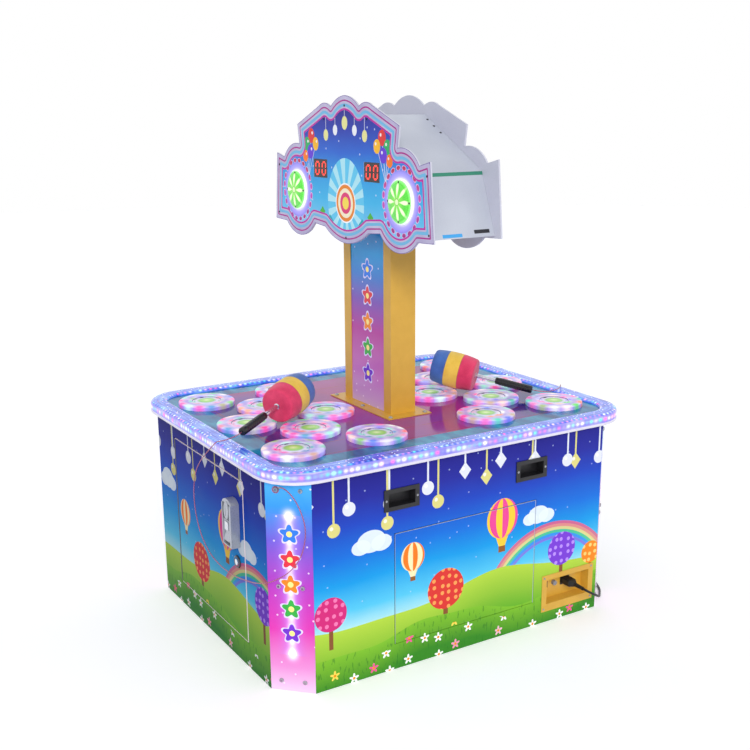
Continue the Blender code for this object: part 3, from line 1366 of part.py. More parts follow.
def make_mallet(end):
    """Foam barrel, and the rod through it with its end cap and grip."""
    frame = mallet_frame(end)
    bore = MALLET_ROD_RADIUS + GAP
    half = MALLET_HEAD_LENGTH / 2
    soft = half - MALLET_EDGE
    profile = [(bore, -half), (barrel_radius(half) - MALLET_EDGE, -half), (barrel_radius(soft), -soft)]
    profile += [(barrel_radius(half * share), half * share) for share in MALLET_STEP_SHARES]
    profile += [(barrel_radius(soft), soft), (barrel_radius(half) - MALLET_EDGE, half), (bore, half)]
    bm = bmesh.new()
    turned(bm, profile, MALLET_SIDES, Matrix.Identity(4))
    mesh = to_mesh("mallet_head", bm)
    mesh.materials.append(material("foam"))
    mesh.shade_smooth()
    mesh.set_sharp_from_angle(angle=SHARP_ANGLE)
    head = link(f"mallet_head_{end}", mesh, frame)
    grip = MALLET_REACH - MALLET_GRIP_LENGTH
    soft = MALLET_GRIP_ROUNDING
    cap = -half - GAP
    profile = [
        (0.0, cap - MALLET_CAP_HEIGHT),
        (MALLET_CAP_RADIUS, cap - MALLET_CAP_HEIGHT / 2),
        (MALLET_CAP_RADIUS, cap),
        (MALLET_ROD_RADIUS, cap),
        (MALLET_ROD_RADIUS, grip),
        (MALLET_GRIP_RADIUS - soft, grip),
        (MALLET_GRIP_RADIUS, grip + soft),
        (MALLET_GRIP_RADIUS, MALLET_REACH - soft),
        (MALLET_GRIP_RADIUS - soft, MALLET_REACH),
        (0.0, MALLET_REACH),
    ]
    bm = bmesh.new()
    turned(bm, profile, LOCK_SIDES, Matrix.Identity(4))
    mesh = to_mesh("mallet_handle", bm)
    mesh.materials.append(material("black rubber"))
    mesh.shade_smooth()
    mesh.set_sharp_from_angle(angle=SHARP_ANGLE)
    carry(link(f"mallet_handle_{end}", mesh, frame), head)


# Each cable's way from the grip over the rim, down its drop, and along its loop up to the bolt of the
# corner panel at its player's right hand, chosen by hand. The rear player's way is turned half round.
TETHER_FRONT_OVER_RIM = (
    (0.0060, 0.0244),
    (0.0073, 0.0205),
    (0.0008, 0.0145),
    (-0.0137, 0.0075),
    (-0.0302, 0.0015),
    (-0.0432, -0.0110),
)
TETHER_FRONT_RIM_SHARES = (0.1674, 0.3764, 0.5955, 0.7978, 0.9747, 1.0708)
TETHER_REAR_OVER_RIM = (
    (0.0095, 0.0160),
    (0.0175, 0.0130),
    (0.0190, 0.0105),
    (0.0130, 0.0100),
    (-0.0030, 0.0095),
    (-0.0250, 0.0080),
    (-0.0440, 0.0030),
    (-0.0540, -0.0090),
)
TETHER_REAR_RIM_SHARES = (0.0522, 0.1678, 0.3395, 0.5377, 0.7292, 0.8811, 0.9835, 1.0277)
TETHER_FRONT_DROP = (
    (-0.3780, 0.0250, -0.0094),
    (-0.4270, 0.0245, -0.0474),
    (-0.4660, 0.0230, -0.0904),
    (-0.4930, 0.0200, -0.1534),
    (-0.4960, 0.0160, -0.2204),
    (-0.4720, 0.0130, -0.2734),
    (-0.4210, 0.0110, -0.3094),
)
TETHER_REAR_DROP = (
    (-0.5750, 0.0250, -0.0094),
    (-0.5760, 0.0255, -0.0524),
    (-0.5740, 0.0230, -0.1004),
    (-0.5660, 0.0200, -0.1574),
    (-0.5460, 0.0170, -0.2144),
    (-0.5120, 0.0140, -0.2644),
    (-0.4640, 0.0120, -0.3004),
    (-0.4120, 0.0105, -0.3174),
)
TETHER_LOOP = (
    (-0.3530, 0.0100, -0.3224),
    (-0.2680, 0.0100, -0.3184),
    (-0.1750, 0.0120, -0.2984),
    (-0.0930, 0.0150, -0.2724),
    (-0.0390, 0.0030, -0.2474),
    (-0.0090, -0.0230, -0.2194),
    (0.0070, -0.0440, -0.1844),
    (0.0120, -0.0560, -0.1424),
    (0.0080, -0.0595, -0.1034),
    (-0.0030, -0.0540, -0.0674),
    (-0.0160, -0.0455, -0.0404),
    (-0.0300, -0.0350, -0.0224),
    (-0.0420, -0.0275, -0.0154),
    (-0.0505, -0.0250, -0.0164),
    (-0.0575, -0.0238, -0.0212),
)


def make_tether(end):
    """Steel cable in a clear sleeve, from the mallet's grip to the corner panel's top bolt."""
    side = -1 if end == "front" else 1
    start = mallet_frame(end) @ Vector((0.0, 0.0, MALLET_REACH + GAP))
    lead = mallet_frame(end) @ Vector((0.0, 0.0, MALLET_REACH + 2 * TETHER_DIAMETER))
    over = TETHER_FRONT_OVER_RIM if end == "front" else TETHER_REAR_OVER_RIM
    drop = TETHER_FRONT_DROP if end == "front" else TETHER_REAR_DROP
    shares = TETHER_FRONT_RIM_SHARES if end == "front" else TETHER_REAR_RIM_SHARES
    edge = side * LIP_HALF_Y - start.y
    route = [lead]
    route += [(start.x + x, start.y + edge * share, RIM_TOP + z) for (x, z), share in zip(over, shares)]
    for x, y, z in (*drop, *TETHER_LOOP):
        route.append((-side * (BODY_HALF_X + x), side * (BODY_HALF_Y + y), BODY_HEIGHT + z))
    points = [start, *smooth_route(route, TETHER_DIAMETER * TETHER_STEPS_A_POINT)]
    tube(f"mallet_tether_{end}", points, TETHER_DIAMETER, TUBE_RESOLUTION, "tether")


def build():
    """Make every piece of the machine."""
    clear_scene()
    make_cabinet_frame()
    make_side_panels()
    make_end_panels()
    make_light_panels()
    make_table()
    make_buttons()
    make_post()
    make_header_boards()
    make_header_cover()
    make_lamps()
    make_coin_door()
    make_handles()
    make_power_box()
    make_mains_lead()
    for end in ("front", "rear"):
        make_mallet(end)
        make_tether(end)


build()
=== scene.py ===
import itertools
import math

import bpy
import numpy as np
from mathutils import Matrix, Vector, geometry


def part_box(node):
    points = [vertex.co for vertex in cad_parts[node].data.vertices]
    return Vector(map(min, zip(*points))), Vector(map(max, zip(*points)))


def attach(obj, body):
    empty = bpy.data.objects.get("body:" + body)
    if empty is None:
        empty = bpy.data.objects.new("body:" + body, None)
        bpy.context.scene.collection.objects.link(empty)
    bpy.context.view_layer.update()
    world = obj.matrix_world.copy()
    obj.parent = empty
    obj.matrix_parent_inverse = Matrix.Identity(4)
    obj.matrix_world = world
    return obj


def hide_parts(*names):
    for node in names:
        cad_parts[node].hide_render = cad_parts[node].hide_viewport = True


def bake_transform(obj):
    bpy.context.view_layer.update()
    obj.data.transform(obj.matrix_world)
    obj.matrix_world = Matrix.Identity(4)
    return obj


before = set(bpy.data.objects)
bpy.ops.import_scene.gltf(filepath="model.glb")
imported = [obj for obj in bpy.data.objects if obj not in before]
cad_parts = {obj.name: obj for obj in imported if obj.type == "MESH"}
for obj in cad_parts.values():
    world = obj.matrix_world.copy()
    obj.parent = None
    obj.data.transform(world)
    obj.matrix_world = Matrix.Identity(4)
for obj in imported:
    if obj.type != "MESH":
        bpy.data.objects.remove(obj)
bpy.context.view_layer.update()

# Camera.
# It stands where the photographer stood, off the corner between the front player's end and
# the long side with the mains inlet, at chest height and turned down a little.
CAMERA_PLACE = (2.6041901, -1.6091062, 1.4175247)
CAMERA_YAW = 1.0248592
CAMERA_PITCH = 0.2656919
CAMERA_ROLL = -0.0078728
FOCAL_WIDTHS = 1.443533
CENTRE_SHIFT = (0.004484, 0.039648)
lens = bpy.data.cameras.new("camera")
lens.sensor_width = 36.0
lens.lens = 36.0 * FOCAL_WIDTHS
lens.shift_x, lens.shift_y = CENTRE_SHIFT
lens.clip_start, lens.clip_end = 0.05, 60.0
camera = bpy.data.objects.new("camera", lens)
bpy.context.scene.collection.objects.link(camera)
bpy.context.scene.camera = camera
yaw_sin, yaw_cos = math.sin(CAMERA_YAW), math.cos(CAMERA_YAW)
pitch_sin, pitch_cos = math.sin(CAMERA_PITCH), math.cos(CAMERA_PITCH)
roll_sin, roll_cos = math.sin(CAMERA_ROLL), math.cos(CAMERA_ROLL)
back = Vector((yaw_sin * pitch_cos, -yaw_cos * pitch_cos, pitch_sin))
level = Vector((yaw_cos, yaw_sin, 0.0))
across = level * roll_cos + back.cross(level) * roll_sin
upward = back.cross(level) * roll_cos - level * roll_sin
turn = Matrix((across, upward, back)).transposed().to_4x4()
camera.matrix_world = Matrix.Translation(CAMERA_PLACE) @ turn

# Mains lead.
# A black moulded lead with a connector in the inlet. It drops to the floor, runs round the rear
# corner and lies in a coil behind the cabinet, with its plug at the end.
CORD_DIAMETER = 0.007
CORD_START = (0.4994, 0.3680, 0.1020)
CORD_ROUTE = (
    (0.0720, -0.1785, 0.0995), (0.0765, -0.1650, 0.0910), (0.0710, -0.1450, 0.0790),
    (0.0560, -0.1240, 0.0662), (0.0370, -0.1060, 0.0540), (0.0220, -0.0900, 0.0430),
    (0.0050, -0.0700, 0.0320), (-0.0175, -0.0480, 0.0210), (-0.0425, -0.0235, 0.0115),
    (-0.0690, 0.0010, 0.0055), (-0.0990, 0.0200, 0.0040), (-0.1350, 0.0330, 0.0040),
    (-0.1750, 0.0440, 0.0040), (-0.2190, 0.0510, 0.0040), (-0.2650, 0.0555, 0.0040),
    (-0.2980, 0.0570, 0.0040), (-0.3140, 0.0570, 0.0040),
)
BODY_HALF = (0.443, 0.550)
BODY_HEIGHT = 0.5624
BODY_CHAMFER = 0.084
CORNERS = ((1, 1), (1, -1), (-1, 1), (-1, -1))
COIL_PLACE = (0.120, 0.655)
COIL_OUTER = 0.048
COIL_PITCH = 0.0078
COIL_TURNS = 3
COIL_FLARE = 0.010
COIL_STEPS = 36
COIL_END = 0.009
CORD_REST = 0.0040


def linear(code):
    """Linear colour of an sRGB hex code, with full alpha."""
    values = [int(code[place:place + 2], 16) / 255 for place in (1, 3, 5)]
    return (*[v / 12.92 if v <= 0.04045 else ((v + 0.055) / 1.055) ** 2.4 for v in values], 1.0)


def dress(tree, item, feeds):
    """Sets a node's inputs by place or name, with hex codes, numbers, fields or sockets."""
    for place, value in feeds.items():
        if isinstance(value, Field):
            value = value.socket
        if isinstance(value, bpy.types.NodeSocket):
            tree.links.new(value, item.inputs[place])
        else:
            item.inputs[place].default_value = linear(value) if isinstance(value, str) else value


def add(tree, kind, feeds=(), **settings):
    """Adds a node with its settings and its inputs, and gives its first output."""
    item = tree.nodes.new("ShaderNode" + kind)
    for name, value in settings.items():
        setattr(item, name, value)
    dress(tree, item, feeds if isinstance(feeds, dict) else dict(enumerate(feeds)))
    return item.outputs[0]


class Field:
    """A number that varies over a surface. Arithmetic on it adds Math nodes to its material."""

    def __init__(self, tree, socket):
        self.tree = tree
        self.socket = socket

    def math(self, operation, *others):
        return Field(self.tree, add(self.tree, "Math", (self, *others), operation=operation))

    def __add__(self, other):
        return self.math("ADD", other)

    def __sub__(self, other):
        return self.math("SUBTRACT", other)

    def __mul__(self, other):
        return self.math("MULTIPLY", other)

    def __truediv__(self, other):
        return self.math("DIVIDE", other)

    def __pow__(self, other):
        return self.math("POWER", other)

    def below(self, limit):
        """1 where it is under a limit, else 0."""
        return self.math("LESS_THAN", limit)

    def above(self, limit):
        """1 where it is over a limit, else 0."""
        return self.math("GREATER_THAN", limit)

    def capped(self):
        return self.math("MINIMUM", 1.0)

    def near(self, middle, half):
        """1 where it lies within half of middle."""
        return (self - middle).size().below(half)

    def sine(self):
        return self.math("SINE")

    def size(self):
        return self.math("ABSOLUTE")

    def bell(self, middle, width):
        """Smooth bump of height 1 at middle, about a width wide on each side."""
        share = (self - middle) / width
        return (share * share * -1.0).math("EXPONENT")


def radial(x, y, squash=1.0):
    """Distance from the origin of a plane, with its second axis squashed if a share is given."""
    return (x * x + y * y * squash).math("SQRT")


def repeats(u, pitch):
    """Which repeat of a pitch a place falls in, and its offset from the middle of that repeat."""
    slide = u / pitch
    cell = slide.math("FLOOR")
    return cell, (slide - cell - 0.5) * pitch


def die(field):
    """Number from 0 to 1 that looks random from one value to the next."""
    return (field.sine() * 43758.5453).math("FRACT")


def paint(tree, base, *layers):
    """Lays colours over a base in turn, each as far as its share goes."""
    socket = base
    for share, colour in layers:
        feeds = {0: share, 6: socket, 7: colour}
        add(tree, "Mix", feeds, data_type="RGBA")
        socket = tree.nodes[-1].outputs[2]
    return socket


def ramp(tree, share, *stops):
    """Colour that runs through stops of (place, hex code)."""
    socket = add(tree, "ValToRGB", (share,))
    band = tree.nodes[-1].color_ramp
    while len(band.elements) < len(stops):
        band.elements.new(1.0)
    for element, (place, code) in zip(band.elements, stops):
        element.position = place
        element.color = linear(code)
    return socket


def places(tree, kind="Object"):
    """The three coordinates of a surface point as fields."""
    add(tree, "TexCoord")
    point = tree.nodes[-1].outputs[kind]
    add(tree, "SeparateXYZ", (point,))
    return point, [Field(tree, out) for out in tree.nodes[-1].outputs]


def material(name):
    """New material with a Principled shader on its output: the material, its tree and its shader."""
    item = bpy.data.materials.new(name)
    item.use_nodes = True
    tree = item.node_tree
    tree.nodes.clear()
    shader = tree.nodes.new("ShaderNodeBsdfPrincipled")
    out = tree.nodes.new("ShaderNodeOutputMaterial")
    tree.links.new(shader.outputs[0], out.inputs["Surface"])
    return item, tree, shader


def grain(tree, point, scale, detail=3.0, stretch=(1.0, 1.0, 1.0)):
    """Noise field at a scale in features a metre, stretched along the axes."""
    placed = add(tree, "Mapping", {"Vector": point, "Scale": stretch})
    socket = add(tree, "TexNoise", {"Vector": placed, "Scale": scale, "Detail": detail})
    return Field(tree, socket)


def relief(tree, shader, height, depth):
    """Bump of a depth in metres from a field."""
    bump = add(tree, "Bump", {"Strength": 1.0, "Distance": depth, "Height": height})
    tree.links.new(bump, shader.inputs["Normal"])


def finish(name, light, dark, scale, roughness, depth, stretch=(1.0, 1.0, 1.0), **values):
    """Plain finish whose colour, gloss and surface all vary with one fine grain.

    The scale is in features a metre. Moulded, brushed, plated and enamelled grain is really 0.1 to
    0.5 mm, too fine to show, and is drawn at 1 to 2.5 mm.
    """
    item, tree, shader = material(name)
    point, _ = places(tree)
    fine = grain(tree, point, scale, 4.0, stretch)
    broad = grain(tree, point, scale / 24, 2.0)
    base = ramp(tree, fine * 0.55 + broad * 0.45, (0.32, dark), (0.68, light))
    dress(tree, shader, {"Base Color": base, "Roughness": (fine - 0.5) * 0.16 + roughness, **values})
    relief(tree, shader, fine, depth)
    return item


def run_along(points):
    """Distance along a line of points to each of them."""
    return np.concatenate([[0.0], np.cumsum(np.linalg.norm(np.diff(points, axis=0), axis=1))])


def solid_mesh(name, points, faces, uv=None, smooth=True):
    """Mesh from arrays, turned to face outward, with an optional pair of numbers at each corner."""
    mesh = bpy.data.meshes.new(name)
    mesh.from_pydata(np.asarray(points, float).tolist(), [], [list(map(int, face)) for face in faces])
    mesh.update()
    corners = np.empty(len(mesh.vertices) * 3)
    mesh.vertices.foreach_get("co", corners)
    corners = corners.reshape(-1, 3)
    if uv is not None:
        layer = mesh.uv_layers.new(name="UVMap")
        layer.data.foreach_set("uv", np.asarray(uv, np.float32).ravel())
    mesh.calc_loop_triangles()
    triangles = np.empty(len(mesh.loop_triangles) * 3, np.int32)
    mesh.loop_triangles.foreach_get("vertices", triangles)
    a, b, c = (corners[triangles.reshape(-1, 3)[:, i]] for i in range(3))
    if np.einsum("ij,ij->i", a, np.cross(b, c)).sum() < 0:
        mesh.flip_normals()
    if smooth:
        mesh.shade_smooth()
    return mesh


def grid(rows, sides, across, along):
    """Faces of a grid whose rows close round, and the pair of numbers at each of their corners.

    A face joins its row and column to the next ones. A corner takes its column's number in `across`
    and its row's number in `along`.
    """
    row, column = [part.ravel() for part in np.mgrid[:rows, :sides]]
    after = (column + 1) % sides
    low, high = row * sides, (row + 1) * sides
    faces = np.stack([low + column, low + after, high + after, high + column], 1)
    uv = np.stack([across[[column, column + 1, column + 1, column]], along[[row, row, row + 1, row + 1]]])
    return faces, uv.transpose(2, 1, 0).reshape(-1, 2)


def skin(name, rings, along):
    """Closed skin through equal rings of points, with a flat end at the first and last ring.

    Its numbers at a corner are the share of the way round and the distance along.
    """
    count, sides = rings.shape[:2]
    faces, uv = grid(count - 1, sides, np.arange(sides + 1) / sides, along)
    caps = [list(range(sides))[::-1], list(range((count - 1) * sides, count * sides))]
    ends = np.array([[0.0, along[0]]] * sides + [[0.0, along[-1]]] * sides)
    return solid_mesh(name, rings.reshape(-1, 3), [*faces, *caps], np.concatenate([uv, ends]))


def piece(mesh, finish_item, body, *nodes, slot=None):
    """Object of a mesh with its finish, riding on a body, in place of CAD nodes if any are named."""
    item = bpy.data.objects.new(mesh.name, mesh)
    bpy.context.scene.collection.objects.link(item)
    if finish_item is not None:
        mesh.materials.append(finish_item)
    if body is not None:
        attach(item, body)
    if nodes:
        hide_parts(*nodes)
    return item


def clad(finish_item, *nodes):
    """Gives CAD nodes a finish in place of their plain one."""
    for node in nodes:
        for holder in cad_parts[node].material_slots:
            holder.material = finish_item


def centripetal(window, share):
    """Point of the centripetal Catmull-Rom curve between the middle two of four points."""
    knots = [0.0]
    for low, high in zip(window, window[1:]):
        knots.append(knots[-1] + math.sqrt((high - low).length))
    place = knots[1] + (knots[2] - knots[1]) * share
    points = list(window)
    for reach in (1, 2):
        parts = [(place - knots[i]) / (knots[i + reach] - knots[i]) for i in range(len(points) - 1)]
        points = [points[i].lerp(points[i + 1], part) for i, part in enumerate(parts)]
    return points[0].lerp(points[1], share)


def smooth_route(points, step):
    """Points a step apart on a smooth curve through a route's own points."""
    route = [Vector(point) for point in points]
    route = [2 * route[0] - route[1], *route, 2 * route[-1] - route[-2]]
    dense = []
    for index in range(len(route) - 3):
        window = route[index:index + 4]
        count = max(6, round((window[2] - window[1]).length / step * 4))
        dense += [centripetal(window, part / count) for part in range(count)]
    dense = np.array([*dense, route[-2]])
    run = run_along(dense)
    even = np.linspace(0.0, run[-1], max(2, round(run[-1] / step)) + 1)
    return np.stack([np.interp(even, run, dense[:, axis]) for axis in range(3)], 1)


def swept(name, points, radius, sides):
    """Round tube along points, whose rings turn as little as they can from one to the next."""
    points = np.asarray(points, float)
    runs = np.gradient(points, axis=0)
    runs /= np.linalg.norm(runs, axis=1)[:, None]
    side = np.cross(runs[0], (0.0, 0.0, 1.0) if abs(runs[0][2]) < 0.9 else (1.0, 0.0, 0.0))
    angles = np.linspace(0.0, 2 * math.pi, sides, endpoint=False)
    rings = []
    for point, run in zip(points, runs):
        side = side - run * side.dot(run)
        side /= np.linalg.norm(side)
        other = np.cross(run, side)
        rings.append(point + radius * (np.cos(angles)[:, None] * side + np.sin(angles)[:, None] * other))
    along = run_along(points)
    return skin(name, np.array(rings), along), float(along[-1])


def lead_points():
    """The lead from its connector to the coil, then the coil: a spiral in, a climb and a spiral out."""
    start = Vector(CORD_START)
    corner = Vector((*BODY_HALF, 0.0))
    route = [start + Vector((CORD_DIAMETER, 0.0, 0.0)), *[corner + Vector(place) for place in CORD_ROUTE]]
    run = [start, *map(Vector, smooth_route(route, CORD_DIAMETER * 1.2))]
    # The coil is (r cos a, r sin a, h): r shrinks by COIL_PITCH a turn, then grows, and flares at its end.
    turn = np.linspace(0.0, 2 * COIL_TURNS, 2 * COIL_TURNS * COIL_STEPS + 1)
    inward = np.minimum(turn, 2 * COIL_TURNS - turn)
    climb = np.clip(2 * (turn - COIL_TURNS) + 0.5, 0.0, 1.0)
    last = np.maximum(2 * (turn - 2 * COIL_TURNS) + 1.0, 0.0)
    radius = COIL_OUTER - COIL_PITCH * inward + COIL_FLARE * last * last
    angle = -math.pi / 2 - 2 * math.pi * turn
    height = CORD_REST + COIL_PITCH * climb * climb * (3 - 2 * climb)
    x, y = COIL_PLACE[0] + radius * np.cos(angle), COIL_PLACE[1] + radius * np.sin(angle)
    coil = [Vector(point) for point in np.stack([x, y, height], 1).tolist()]
    slope = coil[-1] - coil[-2]
    slope = Vector((slope.x, slope.y, 0.0)).normalized()
    coil.append(coil[-1] + slope * COIL_END)
    return [*run, *coil]


# Black rubber: dull, with a faint moulded grain that catches the light along the lead.
rubber = finish("black_moulded_rubber", "#1E1E20", "#0E0E10", 900.0, 0.52, 0.00008)
points = lead_points()
lead_mesh, lead_length = swept("mains_lead", points, CORD_DIAMETER / 2, 14)
mains_lead = piece(lead_mesh, rubber, "root", "power_cord", "power_cord_coil", slot="black_rubber")
clad(rubber, "cord_connector", "mains_plug")

# Mallet cables.
# Thin stranded steel in a tinted sleeve. Each leaves its mallet's grip, lies over the rim, hangs in
# a wide loop before its player's end, and is crimped into an eye under a bolt of the corner panel.
ENDS = (("front", -1), ("rear", 1))
TETHER_DIAMETER = 0.0025
TWIST_PITCH = 0.009
TWIST_STRANDS = 3
EYE_TURN = 338.0
EYE_STEPS = 28
CRIMP_WALL = 0.0009
GRIP_END = 0.241
FIT_GAP = 0.0003
LIP_HALF = (0.461, 0.568)
TABLE_INNER = (0.4075, 0.5145)
RIM_TOP = 0.5940
BUTTON_TOP = 0.5997
MALLETS = {
    "front": (0.05251, -0.59437, 0.0559, -58.2, 8.43),
    "rear": (0.01863, 0.51273, 0.0564, 40.1, 10.56),
}
TETHER_OVER_RIM = {
    "front": (
        (0.0060, 0.1674, 0.0244), (0.0073, 0.3764, 0.0205), (0.0008, 0.5955, 0.0145),
        (-0.0137, 0.7978, 0.0075), (-0.0302, 0.9747, 0.0015), (-0.0432, 1.0708, -0.0110),
    ),
    "rear": (
        (0.0095, 0.0522, 0.0160), (0.0175, 0.1678, 0.0130), (0.0190, 0.3395, 0.0105),
        (0.0130, 0.5377, 0.0100), (-0.0030, 0.7292, 0.0095), (-0.0250, 0.8811, 0.0080),
        (-0.0440, 0.9835, 0.0030), (-0.0540, 1.0277, -0.0090),
    ),
}
TETHER_DROP = {
    "front": (
        (-0.3780, 0.0250, -0.0094), (-0.4270, 0.0245, -0.0474), (-0.4660, 0.0230, -0.0904),
        (-0.4930, 0.0200, -0.1534), (-0.4960, 0.0160, -0.2204), (-0.4720, 0.0130, -0.2734),
        (-0.4210, 0.0110, -0.3094),
    ),
    "rear": (
        (-0.5750, 0.0250, -0.0094), (-0.5760, 0.0255, -0.0524), (-0.5740, 0.0230, -0.1004),
        (-0.5660, 0.0200, -0.1574), (-0.5460, 0.0170, -0.2144), (-0.5120, 0.0140, -0.2644),
        (-0.4640, 0.0120, -0.3004), (-0.4120, 0.0105, -0.3174),
    ),
}
TETHER_LOOP = (
    (-0.3530, 0.0100, -0.3224), (-0.2680, 0.0100, -0.3184), (-0.1750, 0.0120, -0.2984),
    (-0.0930, 0.0150, -0.2724), (-0.0390, 0.0030, -0.2474), (-0.0090, -0.0230, -0.2194),
    (0.0070, -0.0440, -0.1844), (0.0120, -0.0560, -0.1424), (0.0080, -0.0595, -0.1034),
    (-0.0030, -0.0540, -0.0674), (-0.0160, -0.0455, -0.0404), (-0.0300, -0.0350, -0.0224),
    (-0.0420, -0.0275, -0.0154), (-0.0505, -0.0250, -0.0164), (-0.0575, -0.0238, -0.0212),
)
TETHER_BOLT = (0.3791, 0.5299, 0.5380)


def facing(axis, place):
    """Frame at a place whose Z looks along a direction."""
    turn = Vector(axis).to_track_quat("Z", "Y").to_matrix().to_4x4()
    return Matrix.Translation(Vector(place)) @ turn


def mallet_frame(end):
    """Frame at the middle of a mallet's head whose Z runs down its rod to the grip."""
    across, inward, lift, heading, tilt = MALLETS[end]
    heading, tilt = math.radians(heading), math.radians(tilt)
    place = (across * TABLE_INNER[0], inward * TABLE_INNER[1], BUTTON_TOP + lift)
    flat = math.cos(tilt)
    return facing((flat * math.cos(heading), flat * math.sin(heading), -math.sin(tilt)), place)


def tether_points(end):
    """A cable's line from the grip over the rim, down its drop and round its loop to its bolt."""
    side = -1 if end == "front" else 1
    start = mallet_frame(end) @ Vector((0.0, 0.0, GRIP_END + FIT_GAP))
    lead = mallet_frame(end) @ Vector((0.0, 0.0, GRIP_END + 2 * TETHER_DIAMETER))
    edge = side * LIP_HALF[1] - start.y
    route = [lead]
    route += [(start.x + x, start.y + edge * share, RIM_TOP + z) for x, share, z in TETHER_OVER_RIM[end]]
    for x, y, z in (*TETHER_DROP[end], *TETHER_LOOP):
        route.append((-side * (BODY_HALF[0] + x), side * (BODY_HALF[1] + y), BODY_HEIGHT + z))
    return [tuple(start), *map(tuple, smooth_route(route, TETHER_DIAMETER * 2.5).tolist())]


# Stranded steel under a tinted sleeve: a twist of light and wine-dark threads, three where the
# real strands are 0.3 mm and would not show.
# The pale crest of each thread is partly its steel and partly a painted highlight.
sleeve, tree, shader = material("stranded_steel_in_tinted_sleeve")
_, (turn_share, run, _) = places(tree, "UV")
twist = (turn_share * 2 * math.pi * TWIST_STRANDS + run * (2 * math.pi / TWIST_PITCH)).sine() * 0.5 + 0.5
dress(tree, shader, {
    "Base Color": ramp(tree, twist, (0.10, "#5C0A2A"), (0.70, "#B62C5E"), (1.0, "#EA9AB6")),
    "Metallic": 0.10, "Roughness": 0.34, "Coat Weight": 0.4, "Coat Roughness": 0.15,
})
relief(tree, shader, twist, 0.0001)
# Zinc plate on screws and crimps: bright and a little brushed, so that each head catches a spark.
zinc = finish("zinc_plated_fasteners", "#C9CBD0", "#8E9096", 700.0, 0.28, 0.00003, Metallic=0.95)
for end, side in ENDS:
    points = tether_points(end)
    mesh, length = swept(f"mallet_tether_{end}_cable", points, TETHER_DIAMETER / 2, 10)
    tether = piece(mesh, sleeve, None, f"mallet_tether_{end}", slot="coated_cable")
    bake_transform(tether)
    # The eye is a turn of the same cable round the bolt, from the cable's end and back to it.
    out = Vector((-side, side, 0.0)).normalized()
    tip = Vector(points[-1])
    bolt = Vector((-side * TETHER_BOLT[0], side * TETHER_BOLT[1], TETHER_BOLT[2]))
    bolt += out * (tip - bolt).dot(out)
    angles = np.linspace(0.0, math.radians(EYE_TURN), EYE_STEPS)
    turns = [Matrix.Rotation(angle, 4, out) for angle in angles]
    eye = [tuple(bolt + turn @ (tip - bolt)) for turn in turns]
    mesh, _ = swept(f"mallet_tether_{end}_eye", eye, TETHER_DIAMETER / 2 - 0.0001, 10)
    piece(mesh, sleeve, "root")
    mesh, _ = swept(f"mallet_tether_{end}_crimp", points[-3:], TETHER_DIAMETER / 2 + CRIMP_WALL, 14)
    piece(mesh, zinc, "root")

# Floor, light and backdrop.
# The photo is lit by a flash near the camera in a bright room, and its ground is pure white.
# A key stands near the camera, the room fills from all sides, and the floor keeps a soft shadow.
SEEN_RAYS = ("Camera", "Glossy", "Transmission")
KEY_FROM = (0.84, -0.46, 0.50)
KEY_STRENGTH = 1.85
KEY_ANGLE = 0.40
KEY_TINT = "#FFFDFA"
ROOM_STRENGTH = 0.84
FLOOR_LIFT = 0.24
FLOOR_RADIUS = 14.0
FLOOR_SIDES = 96
FLOOR_DROP = 0.0004


def seen_rays(tree):
    """One for the rays that bring the backdrop to the eye: straight, mirrored or through glass."""
    add(tree, "LightPath")
    outputs = tree.nodes[-1].outputs
    straight, mirrored, through = [Field(tree, outputs[f"Is {kind} Ray"]) for kind in SEEN_RAYS]
    return (straight + mirrored + through).capped()


bpy.context.scene.view_settings.view_transform = "Standard"
key = bpy.data.lights.new("key", "SUN")
key.energy, key.angle, key.color = KEY_STRENGTH, KEY_ANGLE, linear(KEY_TINT)[:3]
key_item = bpy.data.objects.new("key", key)
key_item.rotation_mode = "QUATERNION"
key_item.rotation_quaternion = Vector(KEY_FROM).to_track_quat("Z", "Y")
key_item.visible_glossy = False
bpy.context.scene.collection.objects.link(key_item)
world = bpy.data.worlds.new("white_room")
bpy.context.scene.world = world
world.use_nodes = True
tree = world.node_tree
tree.nodes.clear()
to_the_eye = seen_rays(tree)
point, (_, _, height) = places(tree, "Generated")
room = ramp(
    tree, height * 0.5 + 0.5,
    (0.0, "#B8BCC6"), (0.44, "#8A8E9A"), (0.52, "#D2D5DE"), (0.66, "#F4F6FA"), (0.80, "#A9ADB8"),
    (1.0, "#FFFFFF"),
)
dim = add(tree, "Background", (room, ROOM_STRENGTH))
plain = add(tree, "Background", ("#FFFFFF", 1.0))
mixed = add(tree, "MixShader", (to_the_eye, dim, plain))
out = tree.nodes.new("ShaderNodeOutputWorld")
tree.links.new(mixed, out.inputs["Surface"])
# Studio floor: white and matt, lifted where rays reach the eye, so that only the shadow is grey.
ground, tree, shader = material("white_studio_floor")
point, _ = places(tree)
cloud = grain(tree, point, 0.8, 2.0)
to_the_eye = seen_rays(tree)
dress(tree, shader, {
    "Base Color": ramp(tree, cloud, (0.3, "#F4F4F5"), (0.7, "#FAFAFA")), "Roughness": 0.9,
    "Specular IOR Level": 0.0, "Emission Color": "#FFFFFF", "Emission Strength": to_the_eye * FLOOR_LIFT,
})
angles = np.linspace(0.0, 2 * math.pi, FLOOR_SIDES, endpoint=False)
ring = [FLOOR_RADIUS * np.cos(angles), FLOOR_RADIUS * np.sin(angles), 0 * angles - FLOOR_DROP]
ring = np.stack(ring, 1)
mesh = bpy.data.meshes.new("floor")
mesh.from_pydata(ring.tolist(), [], [list(range(FLOOR_SIDES))])
floor = bpy.data.objects.new("floor", mesh)
mesh.materials.append(ground)
bpy.context.scene.collection.objects.link(floor)

